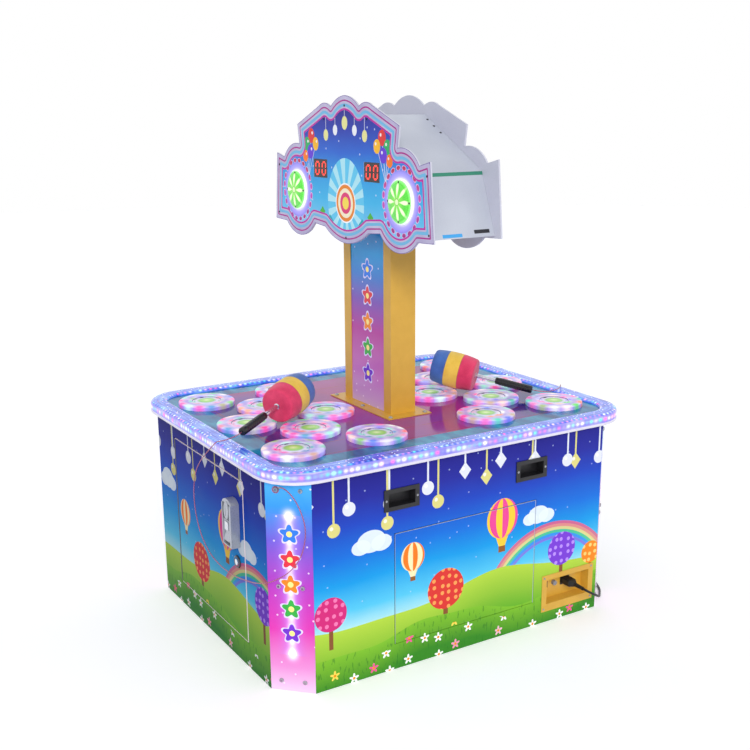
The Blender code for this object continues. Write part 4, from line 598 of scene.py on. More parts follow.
# Cabinet boards and their print.
# Flat boards on a timber frame, each covered with a printed film: a deep blue sky over green hills.
# The front and rear ends, the long sides, the coin door and the hatch carry the same kind of print.
SKY = (
    (0.26, "#B8ECF0"), (0.36, "#58CAF2"), (0.50, "#149EE8"), (0.62, "#1572DC"), (0.76, "#1F48C2"),
    (0.88, "#262C9E"), (1.0, "#201C86"),
)
LANTERN_ROWS = ((0.155, 0.020, 0.108, "#E2DA86"), (0.117, 0.071, 0.070, "#E6EAF4"))
CLOUD_PUFFS = (
    (-0.300, 0.375, 0.030), (-0.270, 0.366, 0.022), (-0.330, 0.364, 0.020),
    (0.240, 0.335, 0.026), (0.270, 0.328, 0.020), (0.212, 0.327, 0.018),
)
BALLOONS = ((0.115, 0.350, 0.052, "#F04C9C", "#FFD23E"), (-0.175, 0.305, 0.036, "#FF7F22", "#FFF0BC"))
TREES = (
    (-0.42, 0.205, 0.046, "#D82C7C", "#F67EB8"), (-0.07, 0.190, 0.058, "#E03A34", "#FFA65A"),
    (0.33, 0.215, 0.050, "#7C40D8", "#BC94FF"), (0.44, 0.180, 0.034, "#FA8C20", "#FFD878"),
)
RAINBOW = ("#8A5AE0", "#3F8CF0", "#58D06A", "#FFE14A", "#FF8A3C", "#F2485A")
RAINBOW_PLACE = (0.290, 0.060, 0.196)
RAINBOW_BAND = 0.0085
FAR_HILL, NEAR_HILL, MEADOW = 0.176, 0.100, 0.070
FLOWER_SCALE = 19.0
FILM_WRAP = 0.006


def cells(tree, point, scale, randomness):
    """Random cells in a plane: distance to the nearest middle, offsets from it, and two dice."""
    values = {"Vector": point, "Scale": scale, "Randomness": randomness}
    add(tree, "TexVoronoi", values, voronoi_dimensions="2D")
    holder = tree.nodes[-1]
    add(tree, "SeparateXYZ", (holder.outputs["Position"],))
    middle = [Field(tree, out) for out in tree.nodes[-1].outputs[:2]]
    add(tree, "SeparateColor", (holder.outputs["Color"],))
    dice = [Field(tree, out) for out in tree.nodes[-1].outputs[:2]]
    return Field(tree, holder.outputs["Distance"]), middle, dice


def lantern_row(u, z, pitch, phase, drop):
    """Share of a row of hung discs and lozenges with their strings, and the share of their shine."""
    cell, x = repeats(u + phase, pitch)
    mark = (cell * 7.31 + 0.7).sine()
    rise = z - (mark * (drop * 0.38) + (BODY_HEIGHT - drop))
    disc = (x * x + rise * rise).below(0.0185 ** 2) * mark.below(0.1)
    lozenge = (x.size() * 1.25 + rise.size()).below(0.024) * mark.above(0.1)
    string = x.near(0.0, 0.0028) * rise.above(0.0)
    shine = ((x + 0.006) ** 2.0 + (rise - 0.006) ** 2.0).below(0.0052 ** 2)
    return (disc + lozenge + string).capped(), shine


def picture(tree, u, z):
    """The sides' print: sky, lanterns, clouds, a rainbow, balloons, hills, round trees and flowers."""
    point = add(tree, "CombineXYZ", (u, z, 0.0))
    soft = grain(tree, point, 6.0, 2.0)
    sky = ramp(tree, (z + (soft - 0.5) * 0.03) / BODY_HEIGHT, *SKY)
    far_spark, _, (chance, _) = cells(tree, point, 15.0, 1.0)
    layers = [(far_spark.below(0.032) * chance.below(0.6) * 0.5, "#CFE2FF")]
    for pitch, phase, drop, tone in LANTERN_ROWS:
        shape, shine = lantern_row(u, z, pitch, phase, drop)
        layers += [(shape, tone), (shape * shine * 0.7, "#FFFFFF")]
    middle, height, radius = RAINBOW_PLACE
    bow = radial(u - middle, z - height)
    for number, tone in enumerate(RAINBOW):
        layers.append((bow.near(radius + number * RAINBOW_BAND, 0.00426) * 0.72, tone))
    for middle, height, radius in CLOUD_PUFFS:
        puff = ((u - middle) * 0.72) ** 2.0 + (z - height) ** 2.0
        layers.append((puff.below(radius * radius) * 0.92, "#EAF6FF"))
    for middle, height, radius, light, dark in BALLOONS:
        x, y = u - middle, z - height
        ball = (x * x + y * y * 0.82).below(radius * radius)
        chord = (y * y * -0.82 + radius * radius).math("MAXIMUM", 1e-6).math("SQRT")
        stripe = (x / chord * 7.5).sine().below(0.0)
        skirt = (y + radius * 1.28).near(0.0, radius * 0.30) * (x.size() * 2.6 - y).below(radius * 2.05)
        basket = x.near(0.0, radius * 0.22) * (y + radius * 1.70).near(0.0, radius * 0.17)
        layers += [(skirt, dark), (ball, light), (ball * stripe, dark), (basket, "#9A5E26")]
    roll = (u * 7.3 + 0.6).sine() * 0.026 + (u * 17.0).sine() * 0.006
    slope = ramp(tree, (z - roll) / 0.19, (0.25, "#62B028"), (0.98, "#BCDC46"))
    layers.append(((z - roll).below(FAR_HILL), slope))
    dots = cells(tree, point, 46.0, 0.35)[0].below(0.26)
    for middle, height, radius, light, dark in TREES:
        x, y = u - middle, z - height
        trunk = x.near(0.0, radius * 0.13) * y.near(-radius * 1.05, radius * 1.05)
        crown = (x * x + y * y).below(radius * radius)
        layers += [(trunk, "#8C5630"), (crown, light), (crown * dots, dark)]
    roll = (u * 10.4 + 2.4).sine() * 0.020 + (u * 29.0).sine() * 0.004
    grass = (z - roll).below(NEAR_HILL)
    layers.append((grass, ramp(tree, (z - roll) / 0.11, (0.1, "#378A22"), (0.95, "#84C42E"))))
    blades = grain(tree, point, 150.0, 2.0, (1.0, 0.22, 1.0))
    layers.append((grass * blades.above(0.62) * 0.5, "#2A7424"))
    _, (middle_u, middle_z), (chance, tone) = cells(tree, point, FLOWER_SCALE, 0.75)
    dx, dz = u - middle_u, z - middle_z
    reach = radial(dx, dz)
    petals = (dz.math("ARCTAN2", dx) * 5.0).sine() * 0.30 + 0.70
    meadow = (z - roll).below(MEADOW) * chance.below(0.62)
    bloom = ramp(tree, tone, (0.45, "#FFFFFF"), (0.5, "#F4589C"), (0.75, "#F4589C"), (0.8, "#FFE05A"))
    layers += [(meadow * (reach / petals).below(0.0145), bloom), (meadow * reach.below(0.0040), "#F09A18")]
    return paint(tree, sky, *layers)


def film(name, axis, shade, gloss):
    """Printed film with its picture along one axis, a share of navy over it as painted shade and a gloss of
    its own.

    It wraps only FILM_WRAP round the board's edges: what lies deeper shows the bare fibreboard. Its
    skin has the 4 mm orange peel of a laminated sheet.
    """
    item, tree, shader = material(name)
    point, coords = places(tree)
    peel = grain(tree, point, 260.0, 2.0)
    bare = coords[1 - axis].size().below(BODY_HALF[1 - axis] - FILM_WRAP)
    fibre = ramp(tree, grain(tree, point, 260.0, 5.0), (0.30, "#AC865C"), (0.70, "#C4A076"))
    dress(tree, shader, {
        "Base Color": paint(tree, picture(tree, coords[axis], coords[2]), (shade, "#0A1238"), (bare, fibre)),
        "Roughness": (peel - 0.5) * 0.10 + bare * 0.52 + 0.24,
        "Specular IOR Level": gloss,
    })
    relief(tree, shader, peel, 0.00006)
    return item


# The film on the ends: the print under a deep painted shade, almost matt so its blue stays dark; drawn
# across.
end_film = film("printed_film_on_the_ends", axis=0, shade=0.42, gloss=0.015)
# The long sides' film: the same print, a trace of painted shade, brighter, a light gloss; drawn lengthways.
side_film = film("printed_film_on_the_long_sides", axis=1, shade=0.03, gloss=0.16)
# Raw timber and ply inside: warm and matt, with an open figure about 15 mm wide.
timber = finish("raw_pine_and_ply", "#C49A6C", "#8A6238", 60.0, 0.8, 0.0002, (1.0, 1.0, 0.12))
clad(side_film, "right_panel", "left_panel", "access_panel")
clad(end_film, "front_panel", "rear_panel")
clad(timber, "cabinet_frame")

# Corner light panels.
# A printed acrylic sheet over an LED strip on each chamfer. The print runs from sky blue through
# magenta to pale pink, and the strip behind shows as a bright line down its middle.
CORNER_PRINT = (
    (0.0, "#E6C6E6"), (0.12, "#E28ACE"), (0.30, "#DA30AC"), (0.52, "#B034BC"), (0.72, "#6A58D2"),
    (0.88, "#2E94E6"), (1.0, "#46AEF0"),
)
FLOWER_TONES = ("#2C78E0", "#DC2C40", "#EE8216", "#2FA83E", "#6E28C8")
FLOWER_HEIGHTS = (0.425, 0.358, 0.292, 0.226, 0.160)
FLOWER_RADIUS = 0.025
LED_LINE = (0.100, 0.475)
LED_PITCH = 0.0333
PANEL_SCREW_HEIGHTS = (0.027, 0.285, 0.538)
PANEL_SCREW_REACH = 0.031


def ribbon(name, across, low, high, print_stops, spots, radius, line=None):
    """Printed strip: a run of colours, a column of flowers, and a line of light behind if it has one.

    `across` gives the distance from the strip's middle from x and y. The flowers' edge follows
    radius * (0.80 + 0.20 * cos(5 * angle)).
    """
    item, tree, shader = material(name)
    point, (x, y, z) = places(tree)
    u = across(x, y)
    base = ramp(tree, (z - low) / (high - low), *print_stops)
    plane = add(tree, "CombineXYZ", (u, z, 0.0))
    spark, _, (chance, _) = cells(tree, plane, 24.0, 1.0)
    layers = [(spark.below(0.06) * chance.below(0.5) * 0.6, "#FFF4FF")]
    glow = None
    if line:
        beads = (z * (2 * math.pi / LED_PITCH)).sine() * 0.22 + 0.78
        span = z.near((line[0] + line[1]) / 2, (line[1] - line[0]) / 2)
        ends = z.bell(line[0], radius * 0.5) + z.bell(line[1], radius * 0.5)
        glow = u.bell(0.0, radius * 0.36) * beads * span + u.bell(0.0, radius * 0.50) * ends
        glow = glow.capped()
        layers += [(u.bell(0.0, radius) * span * 0.50, "#C48CFF"), (glow * 0.94, "#FBF2FF")]
    flowers = None
    for place, tone in zip(spots, FLOWER_TONES):
        rise = z - place
        petals = (u.math("ARCTAN2", rise) * 5.0).math("COSINE") * 0.20 + 0.80
        reach = radial(u, rise) / radius
        shape = (reach / petals).below(1.20)
        flowers = shape if flowers is None else flowers + shape
        layers += [(shape, "#DCD4F6"), ((reach / petals).below(1.0), tone), (reach.below(0.30), "#FFE688")]
    colour = paint(tree, base, *layers)
    peel = grain(tree, point, 300.0, 2.0)
    light = 0.06 if glow is None else glow * (flowers * -0.75 + 1.0) * 0.5 + 0.10
    dress(tree, shader, {
        "Base Color": colour, "Roughness": (peel - 0.5) * 0.08 + 0.17, "Emission Color": colour,
        "Emission Strength": light, "Specular IOR Level": 0.35,
    })
    relief(tree, shader, peel, 0.00004)
    return item


# Corner print: saturated and glossy over a 3 mm ripple, with a white-violet line of LEDs that
# blooms at both ends.
corner_film = ribbon(
    "back_lit_print_on_the_corners",
    lambda x, y: (x.size() - y.size() + (BODY_HALF[1] - BODY_HALF[0])) * math.sqrt(0.5),
    0.0, BODY_HEIGHT, CORNER_PRINT, FLOWER_HEIGHTS, FLOWER_RADIUS, LED_LINE,
)
clad(corner_film, "light_panel_1", "light_panel_2", "light_panel_3", "light_panel_4")


def turned_mesh(name, profile, sides, frames):
    """One mesh of a closed turned skin at each frame: a point at an angle a is (r cos a, r sin a, h).

    Its profile of (radius r, height h) starts and ends on the axis. Its numbers at a corner are the
    share of the turn and the distance along the profile.
    """
    profile = np.array(profile, float)
    turns = np.linspace(0.0, 2 * math.pi, sides, endpoint=False)
    radii, heights = profile[1:-1, :1], np.repeat(profile[1:-1, 1:], sides, 1)
    rings = np.stack([radii * np.cos(turns), radii * np.sin(turns), heights], 2).reshape(-1, 3)
    shape = np.concatenate([rings, [[0.0, 0.0, profile[0, 1]], [0.0, 0.0, profile[-1, 1]]]])
    run, shares = run_along(profile), np.arange(sides + 1) / sides
    body, body_uv = grid(len(profile) - 3, sides, shares, run[1:-1])
    column = np.arange(sides)
    after, top = (column + 1) % sides, len(rings) - sides
    low, middle, high = shares[:-1], (shares[:-1] + shares[1:]) / 2, shares[1:]
    foot = np.stack([column * 0 + len(rings), after, column], 1)
    head = np.stack([top + column, top + after, column * 0 + len(rings) + 1], 1)
    foot_uv = np.stack([middle, low * 0 + run[0], high, low * 0 + run[1], low, low * 0 + run[1]], 1)
    head_uv = np.stack([low, low * 0 + run[-2], high, low * 0 + run[-2], middle, low * 0 + run[-1]], 1)
    uv = np.concatenate([body_uv, foot_uv.reshape(-1, 2), head_uv.reshape(-1, 2)])
    points, faces = [], []
    for number, frame_at in enumerate(frames):
        turn = np.array(frame_at)
        points.append(shape @ turn[:3, :3].T + turn[:3, 3])
        faces += [corners for part in (body, foot, head) for corners in part + number * len(shape)]
    mesh = solid_mesh(name, np.concatenate(points), faces, np.tile(uv, (len(points), 1)))
    mesh.set_sharp_from_angle(angle=math.radians(38.0))
    return mesh


def profile_length(profile):
    """Length of a profile's line, which is the distance along a turned skin from pole to pole."""
    return sum(math.dist(low, high) for low, high in zip(profile, profile[1:]))


SCREW_HEAD = (
    (0.0, -0.001), (0.0062, -0.001), (0.0062, 0.0016), (0.0052, 0.0030), (0.0030, 0.0039),
    (0.0026, 0.0030), (0.0, 0.0030),
)
spots = []
for side_x, side_y in CORNERS:
    out = Vector((side_x, side_y, 0.0)).normalized()
    along = Vector((-out.y, out.x, 0.0))
    reach_x, reach_y = BODY_HALF[0] - BODY_CHAMFER / 2, BODY_HALF[1] - BODY_CHAMFER / 2
    for height in PANEL_SCREW_HEIGHTS:
        for shift in (-PANEL_SCREW_REACH, PANEL_SCREW_REACH):
            spots.append(facing(out, Vector((side_x * reach_x, side_y * reach_y, height)) + along * shift))
piece(turned_mesh("corner_panel_screws", SCREW_HEAD, 14, spots), zinc, "root")

# Coin door and coin mechanism.
# A printed board door on a black piano hinge, with a pale edge line, a bright die-cast coin
# mechanism and a ring lock. Slot, reject button and return cup are cast; the lock is a cylinder.
DOOR_HALF = 0.2295
DOOR_LOW, DOOR_HIGH = 0.0715, 0.5155
HINGE_PLACE = (-0.2310, -0.5488)
FACE_Y = -0.5500
LOCK_PLACE = (0.184, 0.284)
KNUCKLES = 12
KNUCKLE_FOOT = 0.0780
KNUCKLE_PITCH = 0.0363
FLAP_PLACE = (0.176, FACE_Y - 0.0185, 0.3680)
FLAP_TILT = -0.30
# Die-cast chrome: hard bright reflections with dark ones beside them, rippled every 11 mm or so.
# Its colour runs pale and grey with the ripple: a painted reflection.
chrome = finish("bright_die_cast_chrome", "#F0F2F6", "#C2C6CE", 90.0, 0.17, 0.00006, Metallic=0.94)
# Satin casting: the same metal before its last polish, greyer and softer in its reflections.
cast = finish("satin_die_cast_metal", "#B9BDC6", "#A3A7B1", 420.0, 0.30, 0.00001, Metallic=0.55)
clad(end_film, "coin_door")
clad(cast, "coin_mech")
clad(chrome, "reject_button", "door_lock")


def block_pattern():
    """Points of a block with its edges eased, as signs and the axes eased at each, and its faces."""
    signs = np.repeat(list(itertools.product((-1, 1), repeat=3)), 3, 0)
    eased = 1.0 - np.tile(np.eye(3), (8, 1))
    unit = signs * (1.0 - eased / 2)
    faces = []
    for way in itertools.product((-1, 0, 1), repeat=3):
        reach = unit @ way
        loop = np.flatnonzero(reach > reach.max() - 0.1)
        if any(way):
            turn = np.array(Vector(way).to_track_quat("Z", "Y").to_matrix())
            flat = (unit[loop] - unit[loop].mean(0)) @ turn
            faces.append(loop[np.argsort(np.arctan2(flat[:, 1], flat[:, 0]))])
    return signs, eased, faces


def bars(name, boxes):
    """One mesh of plain blocks with their edges eased, each given by its two corners."""
    signs, eased, block_faces = block_pattern()
    points, faces = [], []
    for low, high in boxes:
        low, high = np.array(low, float), np.array(high, float)
        ease = min((high - low).min() * 0.22, 0.0012)
        faces += [loop + len(points) * len(signs) for loop in block_faces]
        points.append(np.where(signs > 0, high, low) - signs * eased * ease)
    return solid_mesh(name, np.concatenate(points), faces, None, False)


# Edge trim round the door: satin pinkish-white plastic that reads as a thin pale line.
edging = finish("pale_edge_trim", "#EEDFE4", "#D8C6D0", 420.0, 0.42, 0.00004)
line_low, line_high = FACE_Y - 0.0006, FACE_Y + 0.004
piece(bars("coin_door_edge_trim", [
    ((DOOR_HALF - 0.0014, line_low, DOOR_LOW), (DOOR_HALF + 0.0002, line_high, DOOR_HIGH)),
    ((-DOOR_HALF + 0.004, line_low, DOOR_LOW - 0.0002), (DOOR_HALF - 0.0016, line_high, DOOR_LOW + 0.0010)),
    ((-DOOR_HALF + 0.004, line_low, DOOR_HIGH - 0.001), (DOOR_HALF - 0.0016, line_high, DOOR_HIGH + 0.0002)),
]), edging, "coin_door")
# Black enamel on the hinge: near black with a soft sheen.
black_enamel = finish("black_enamel", "#2A2A2E", "#121214", 520.0, 0.30, 0.00003)
knuckle = ((0.0, 0.0), (0.0016, 0.0), (0.0020, 0.0006), (0.0020, 0.0354), (0.0016, 0.0360), (0.0, 0.0360))
heights = [KNUCKLE_FOOT + KNUCKLE_PITCH * step for step in range(KNUCKLES)]
spots = [facing((0.0, 0.0, 1.0), (*HINGE_PLACE, height)) for height in heights]
piece(turned_mesh("coin_door_hinge_knuckles", knuckle, 12, spots), black_enamel, "coin_door")
leaf_low = (-DOOR_HALF, FACE_Y - 0.0005, DOOR_LOW + 0.002)
leaf_high = (-DOOR_HALF + 0.0036, FACE_Y + 0.001, DOOR_HIGH - 0.002)
piece(bars("coin_door_hinge_leaf", [(leaf_low, leaf_high)]), black_enamel, "coin_door")
# Shaded metal: the casting's duller grey, a painted shade where its own depth and the lock's shadow darken
# it.
painted_shade_metal = finish("cast_metal_in_painted_shade", "#6A6F79", "#40444C", 160.0, 0.28, 0.00010, Metallic=0.8)
# The lock's ring cap is in painted shade: the shadow round the lock.
ring_cap = (
    (0.0, -0.0004), (0.0172, -0.0004), (0.0176, 0.0012), (0.0166, 0.0044), (0.0130, 0.0052),
    (0.0118, 0.0036), (0.0089, 0.0036), (0.0089, 0.0010), (0.0, 0.0010),
)
lock_face = facing((0.0, -1.0, 0.0), (LOCK_PLACE[0], FACE_Y, LOCK_PLACE[1]))
piece(turned_mesh("lock_ring_cap", ring_cap, 32, [lock_face]), painted_shade_metal, "coin_door")
# The bezel's raised edges catch the light beside a plate in painted shade round the entry.
proud, sunk = FACE_Y - 0.0250, FACE_Y - 0.0220
piece(bars("coin_mech_raised_edges", [
    ((0.1945, proud, 0.3310), (0.2030, sunk, 0.4450)), ((0.1490, proud, 0.3310), (0.1528, sunk, 0.4450)),
    ((0.1528, proud, 0.3306), (0.1945, sunk, 0.3342)),
]), cast, "coin_door")
recess = bars("coin_mech_recess_in_painted_shade", [((0.1534, FACE_Y - 0.0227, 0.4015), (0.1939, sunk, 0.4470))])
piece(recess, painted_shade_metal, "coin_door")
# Return flap: a sprung plate of the same casting that hangs in the mouth of the return cup.
flap = bars("coin_return_flap", [((-0.0176, -0.0006, -0.0240), (0.0176, 0.0008, 0.0))])
flap.transform(Matrix.Translation(FLAP_PLACE) @ Matrix.Rotation(FLAP_TILT, 4, "X"))
piece(flap, cast, "coin_door")

# Service hatch.
# A printed board let into the right side, held shut from behind, with pale tape on its edges.
# Its front is dressed with the sides' print; only the tape stands proud of the board round it.
(_, hatch_left, hatch_foot), (_, hatch_right, hatch_top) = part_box("access_panel")
tape_low, tape_high = BODY_HALF[0] - 0.003, BODY_HALF[0] + 0.0005
hatch_tape = finish("grey_edge_tape", "#BFC8D6", "#A6B0C2", 420.0, 0.42, 0.00004)
piece(bars("hatch_edge_tape", [
    ((tape_low, hatch_left + 0.0010, hatch_top - 0.0012), (tape_high, hatch_right - 0.0016, hatch_top)),
    ((tape_low, hatch_right - 0.0014, hatch_foot), (tape_high, hatch_right, hatch_top)),
    ((tape_low, hatch_left, hatch_foot), (tape_high, hatch_left + 0.0008, hatch_top)),
]), hatch_tape, "root")

# Carrying handles.
# Black moulded cups let into the long sides, a pair on each, moulded as one piece with the strip
# behind the board. Each cup is fixed with two small screws through its flange.
HANDLE_PLACE = (0.210, 0.473)
HANDLE_SCREW_REACH = 0.0465
HANDLE_FLANGE = 0.0033
SMALL_SCREW = (
    (0.0, -0.0004), (0.0034, -0.0004), (0.0030, 0.0008), (0.0014, 0.0015), (0.0010, 0.0008), (0.0, 0.0008),
)
# Moulded black plastic: dark, with a fine spark-eroded grain that dulls its highlights.
black_plastic = finish("black_moulded_plastic", "#26262A", "#131316", 650.0, 0.40, 0.00006)
clad(black_plastic, "carry_handles_left", "carry_handles_right")
spots = []
for side_x, side_y in CORNERS:
    for shift in (-HANDLE_SCREW_REACH, HANDLE_SCREW_REACH):
        place = (side_x * (BODY_HALF[0] + HANDLE_FLANGE), side_y * HANDLE_PLACE[0] + shift, HANDLE_PLACE[1])
        spots.append(facing((side_x, 0.0, 0.0), place))
piece(turned_mesh("handle_screws", SMALL_SCREW, 12, spots), zinc, "root")

# Power box.
# A folded steel box painted yellow like the post, let into the side: a red rocker, a fuse
# holder and an inlet stand on a painted module plate in its recess. Four screws hold its flange.
# Yellow powder coat: a warm even yellow with a satin sheen and orange peel about 1 mm across.
PAINT_TONES = ("#DCAC40", "#D2A138")
paint_yellow = finish("yellow_powder_coat", *PAINT_TONES, 900.0, 0.34, 0.00007)
clad(paint_yellow, "power_box", "column")
# Module plate: painted like its box, under fittings of black plastic and a grey fuse cap.
MODULE_PLATE = 0.0015
FITTING_LIFT = 0.0002
FUSE_PLACE = (0.326, 0.1025)
FUSE_RADIUS = 0.0075
POWER_SCREWS_X = 0.4449
POWER_SCREWS_Y = (0.270, 0.444)
POWER_SCREWS_Z = (0.041, 0.136)
module_finish, tree, shader = material("painted_plate_with_black_fittings")
point, (x, y, z) = places(tree)
peel = grain(tree, point, 900.0, 3.0)
fitting = x.above(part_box("power_inlet")[0][0] + MODULE_PLATE + FITTING_LIFT)
fuse = ((y - FUSE_PLACE[0]) ** 2.0 + (z - FUSE_PLACE[1]) ** 2.0).below(FUSE_RADIUS ** 2) * fitting
dress(tree, shader, {
    "Base Color": paint(
        tree, ramp(tree, peel, (0.32, PAINT_TONES[1]), (0.68, PAINT_TONES[0])), (fitting, "#1A1A1D"),
        (fuse, "#85868E"),
    ),
    "Roughness": (peel - 0.5) * 0.1 + 0.36,
})
relief(tree, shader, peel, 0.00006)
clad(module_finish, "power_inlet")
# Rocker plastic: clean signal red with a crisp gloss.
red_plastic = finish("red_rocker_plastic", "#C4161C", "#A00F16", 700.0, 0.24, 0.00003)
clad(red_plastic, "power_switch")
places_yz = [(y, z) for y in POWER_SCREWS_Y for z in POWER_SCREWS_Z]
spots = [facing((1.0, 0.0, 0.0), (POWER_SCREWS_X, *place)) for place in places_yz]
piece(turned_mesh("power_box_screws", SMALL_SCREW, 12, spots), zinc, "root")

# Table edge and lit rim.
# A white laminated lip round the table carries a clear acrylic channel with LED strips inside,
# whose lights show as beads of white, aqua and pink on its sides and as streaks on its top.
LIP_RADIUS = 0.120
RIM_BASE = 0.5705
RIM_HEIGHT = 0.0235
RIM_WALL = 0.004
RIM_OUTER_ROUNDING = 0.009
RIM_INNER_ROUNDING = 0.008
RIM_WIDTH = 0.050
BEAD_PITCH = 0.0167
BEAD_ROWS = ((0.0105, 0.0050), (0.0255, 0.0032), (0.0655, 0.0036))
SIDE_RUN = 0.0215
# Laminate: a cool white with a satin face, so that the lip reads as a clean thin line.
white_lip = finish("white_lavender_laminate", "#E6E2F2", "#DAD6E8", 500.0, 0.30, 0.00003)
clad(white_lip, "table_board")


def rounded(half_x, half_y, radius, steps):
    """Rectangle about the origin with round corners."""
    points = []
    for number, (side_x, side_y) in enumerate(((1, 1), (-1, 1), (-1, -1), (1, -1))):
        for step in range(steps):
            angle = math.pi / 2 * (number + step / (steps - 1))
            x = side_x * (half_x - radius) + radius * math.cos(angle)
            y = side_y * (half_y - radius) + radius * math.sin(angle)
            points.append((x, y))
    return np.array(points)


def even_loop(points, step):
    """Points about a step apart round a closed path, the distance to each, and the whole way."""
    closed = np.concatenate([points, points[:1]])
    run = run_along(closed)
    even = np.linspace(0.0, run[-1], round(run[-1] / step), endpoint=False)
    return np.stack([np.interp(even, run, closed[:, axis]) for axis in (0, 1)], 1), even, float(run[-1])


# The channel's section as (inset from the lip's edge, height): a rounded top on straight sides.
# Its corners follow inset = r - r * cos(a) and height = h + r * sin(a) for a up to a quarter turn.
straight = RIM_HEIGHT - RIM_OUTER_ROUNDING
RIM_SECTION = [(0.0, 0.0), (0.0, straight)]
for angle in np.linspace(0.25, math.pi / 2, 6):
    inset = RIM_OUTER_ROUNDING * (1 - math.cos(angle))
    RIM_SECTION.append((inset, straight + RIM_OUTER_ROUNDING * math.sin(angle)))
RIM_SECTION += [(inset, RIM_HEIGHT) for inset in (0.020, 0.030, 0.040)]
for angle in np.linspace(0.0, math.pi / 2, 6):
    inset = RIM_WIDTH + RIM_INNER_ROUNDING * (math.sin(angle) - 1)
    RIM_SECTION.append((inset, RIM_HEIGHT + RIM_INNER_ROUNDING * (math.cos(angle) - 1)))
hollow = 0.0185
RIM_SECTION += [
    (RIM_WIDTH, 0.0), (RIM_WIDTH - RIM_WALL, 0.0), (RIM_WIDTH - RIM_WALL, hollow), (RIM_WALL, hollow),
    (RIM_WALL, 0.0),
]
path, run, total = even_loop(rounded(LIP_HALF[0], LIP_HALF[1], LIP_RADIUS, 24), 0.012)
tangent = np.roll(path, -1, 0) - np.roll(path, 1, 0)
tangent /= np.linalg.norm(tangent, axis=1)[:, None]
inward = np.stack([-tangent[:, 1], tangent[:, 0]], 1)
rings, reach = [], [0.0]
for number, (inset, height) in enumerate(RIM_SECTION):
    flat = path + inward * inset
    rings.append(np.concatenate([flat, np.full((len(flat), 1), RIM_BASE + height)], 1))
    if number:
        reach.append(reach[-1] + math.dist(RIM_SECTION[number], RIM_SECTION[number - 1]))
points = np.concatenate(rings)
faces, uv = grid(len(rings), len(path), np.append(run, total), np.append(reach, reach[-1] + RIM_WALL))
rim_mesh = solid_mesh("lit_rim_channel", points, faces % len(points), uv)
rim_mesh.set_sharp_from_angle(angle=math.radians(50.0))


def bead_row(u, v, pitch, row, width):
    """Row of uneven lights at a pitch along u on the line v = row: share of glow, and a die each."""
    cell, x = repeats(u, pitch)
    spread = (x * x * 0.6 + (v - row) ** 2.0) * (-1.0 / (width * width))
    mark = die(cell * 12.9898 + row * 4000.0)
    power = (mark * 17.0).math("FRACT") * 0.55 + 0.45
    return spread.math("EXPONENT") * power, mark


# Lit clear acrylic: a blue translucent top with streaks and sparks, over bright beads of light.
LED_TONES = (
    (0.0, "#3CEEDC"), (0.18, "#FFFFFF"), (0.32, "#FF5CB4"), (0.48, "#9AA8FF"), (0.62, "#FFF8FF"),
    (0.76, "#40D8E8"), (0.88, "#7C8CFF"), (1.0, "#FF4CA4"),
)
rim_finish, tree, shader = material("led_lit_clear_acrylic")
_, (u, v, _) = places(tree, "UV")
plane = add(tree, "CombineXYZ", (u, v, 0.0))
streak = grain(tree, plane, 46.0, 3.0, (0.30, 2.4, 1.0))
patch = grain(tree, plane, 13.0, 2.0)
top = ramp(
    tree, streak * 0.62 + patch * 0.38,
    (0.34, "#1B3CAE"), (0.45, "#3558E2"), (0.55, "#5B86F2"), (0.66, "#8CC0FA"), (0.78, "#D6E6FF"),
)
side = ramp(tree, streak, (0.30, "#6C66DE"), (0.55, "#958EF2"), (0.75, "#C6C0FB"))
layers = [(v.below(SIDE_RUN), side)]
light = None
for row, width in BEAD_ROWS:
    glow, mark = bead_row(u, v, BEAD_PITCH, row, width)
    layers.append(((glow * 1.25).capped(), ramp(tree, mark, *LED_TONES)))
    light = glow if light is None else light + glow
spark, _, (chance, tone) = cells(tree, plane, 92.0, 1.0)
spark = spark.below(0.17) * chance.below(0.34) * v.near(0.0450, 0.0150)
spark_tone = ramp(tree, tone, (0.0, "#FFFFFF"), (0.4, "#BFE8FF"), (0.7, "#FF9AD2"), (1.0, "#7CFFE4"))
layers.append((spark, spark_tone))
colour = paint(tree, top, *layers)
dress(tree, shader, {
    "Base Color": colour, "Roughness": (streak - 0.5) * 0.10 + 0.14, "Emission Color": colour,
    "Emission Strength": (light + spark).capped() * 0.55 + 0.22,
    "Coat Weight": 0.6, "Coat Roughness": 0.05,
})
relief(tree, shader, streak, 0.00012)
piece(rim_mesh, rim_finish, "root", "rim_channel", slot="rim_acrylic")

# Playfield and target board.
# A printed board under a hard glossy laminate: a teal border with brushed streaks, thin dark-red
# lines, and a magenta, violet and navy field. The ring targets come up through its holes.
FIELD_HALF = (0.345, 0.452)
LINE_HALF = (0.250, 0.362)
playfield, tree, shader = material("glossy_printed_playfield")
point, (x, y, _) = places(tree)
ripple = grain(tree, point, 9.0, 4.0, (1.0, 2.6, 1.0))
broad = grain(tree, point, 3.2, 2.0)
edge = ramp(tree, ripple, (0.32, "#0C4A86"), (0.50, "#127CAE"), (0.62, "#249CC0"), (0.76, "#78CCDC"))
field = ramp(
    tree, broad * 0.6 + y.size() * 0.5 + x * 0.25,
    (0.20, "#A8389A"), (0.34, "#A82484"), (0.46, "#7A3CA0"), (0.58, "#2C2C80"), (0.76, "#1E3470"),
)
outer = (x.size() / FIELD_HALF[0]).math("MAXIMUM", y.size() / FIELD_HALF[1])
inner = (x.size() / LINE_HALF[0]).math("MAXIMUM", y.size() / LINE_HALF[1])
worn = ripple.above(0.44) * 0.7 + 0.3
colour = paint(
    tree, edge, (outer.below(1.0), field), (outer.near(0.972, 0.0035), "#84202C"),
    (inner.near(0.995, 0.0045) * worn, "#A03446"),
)
dress(tree, shader, {
    "Base Color": colour, "Roughness": (ripple - 0.5) * 0.06 + 0.09, "Coat Weight": 0.10,
    "Coat Roughness": 0.03, "Specular IOR Level": 0.20,
})
relief(tree, shader, ripple, 0.00004)
clad(playfield, "playfield_board")
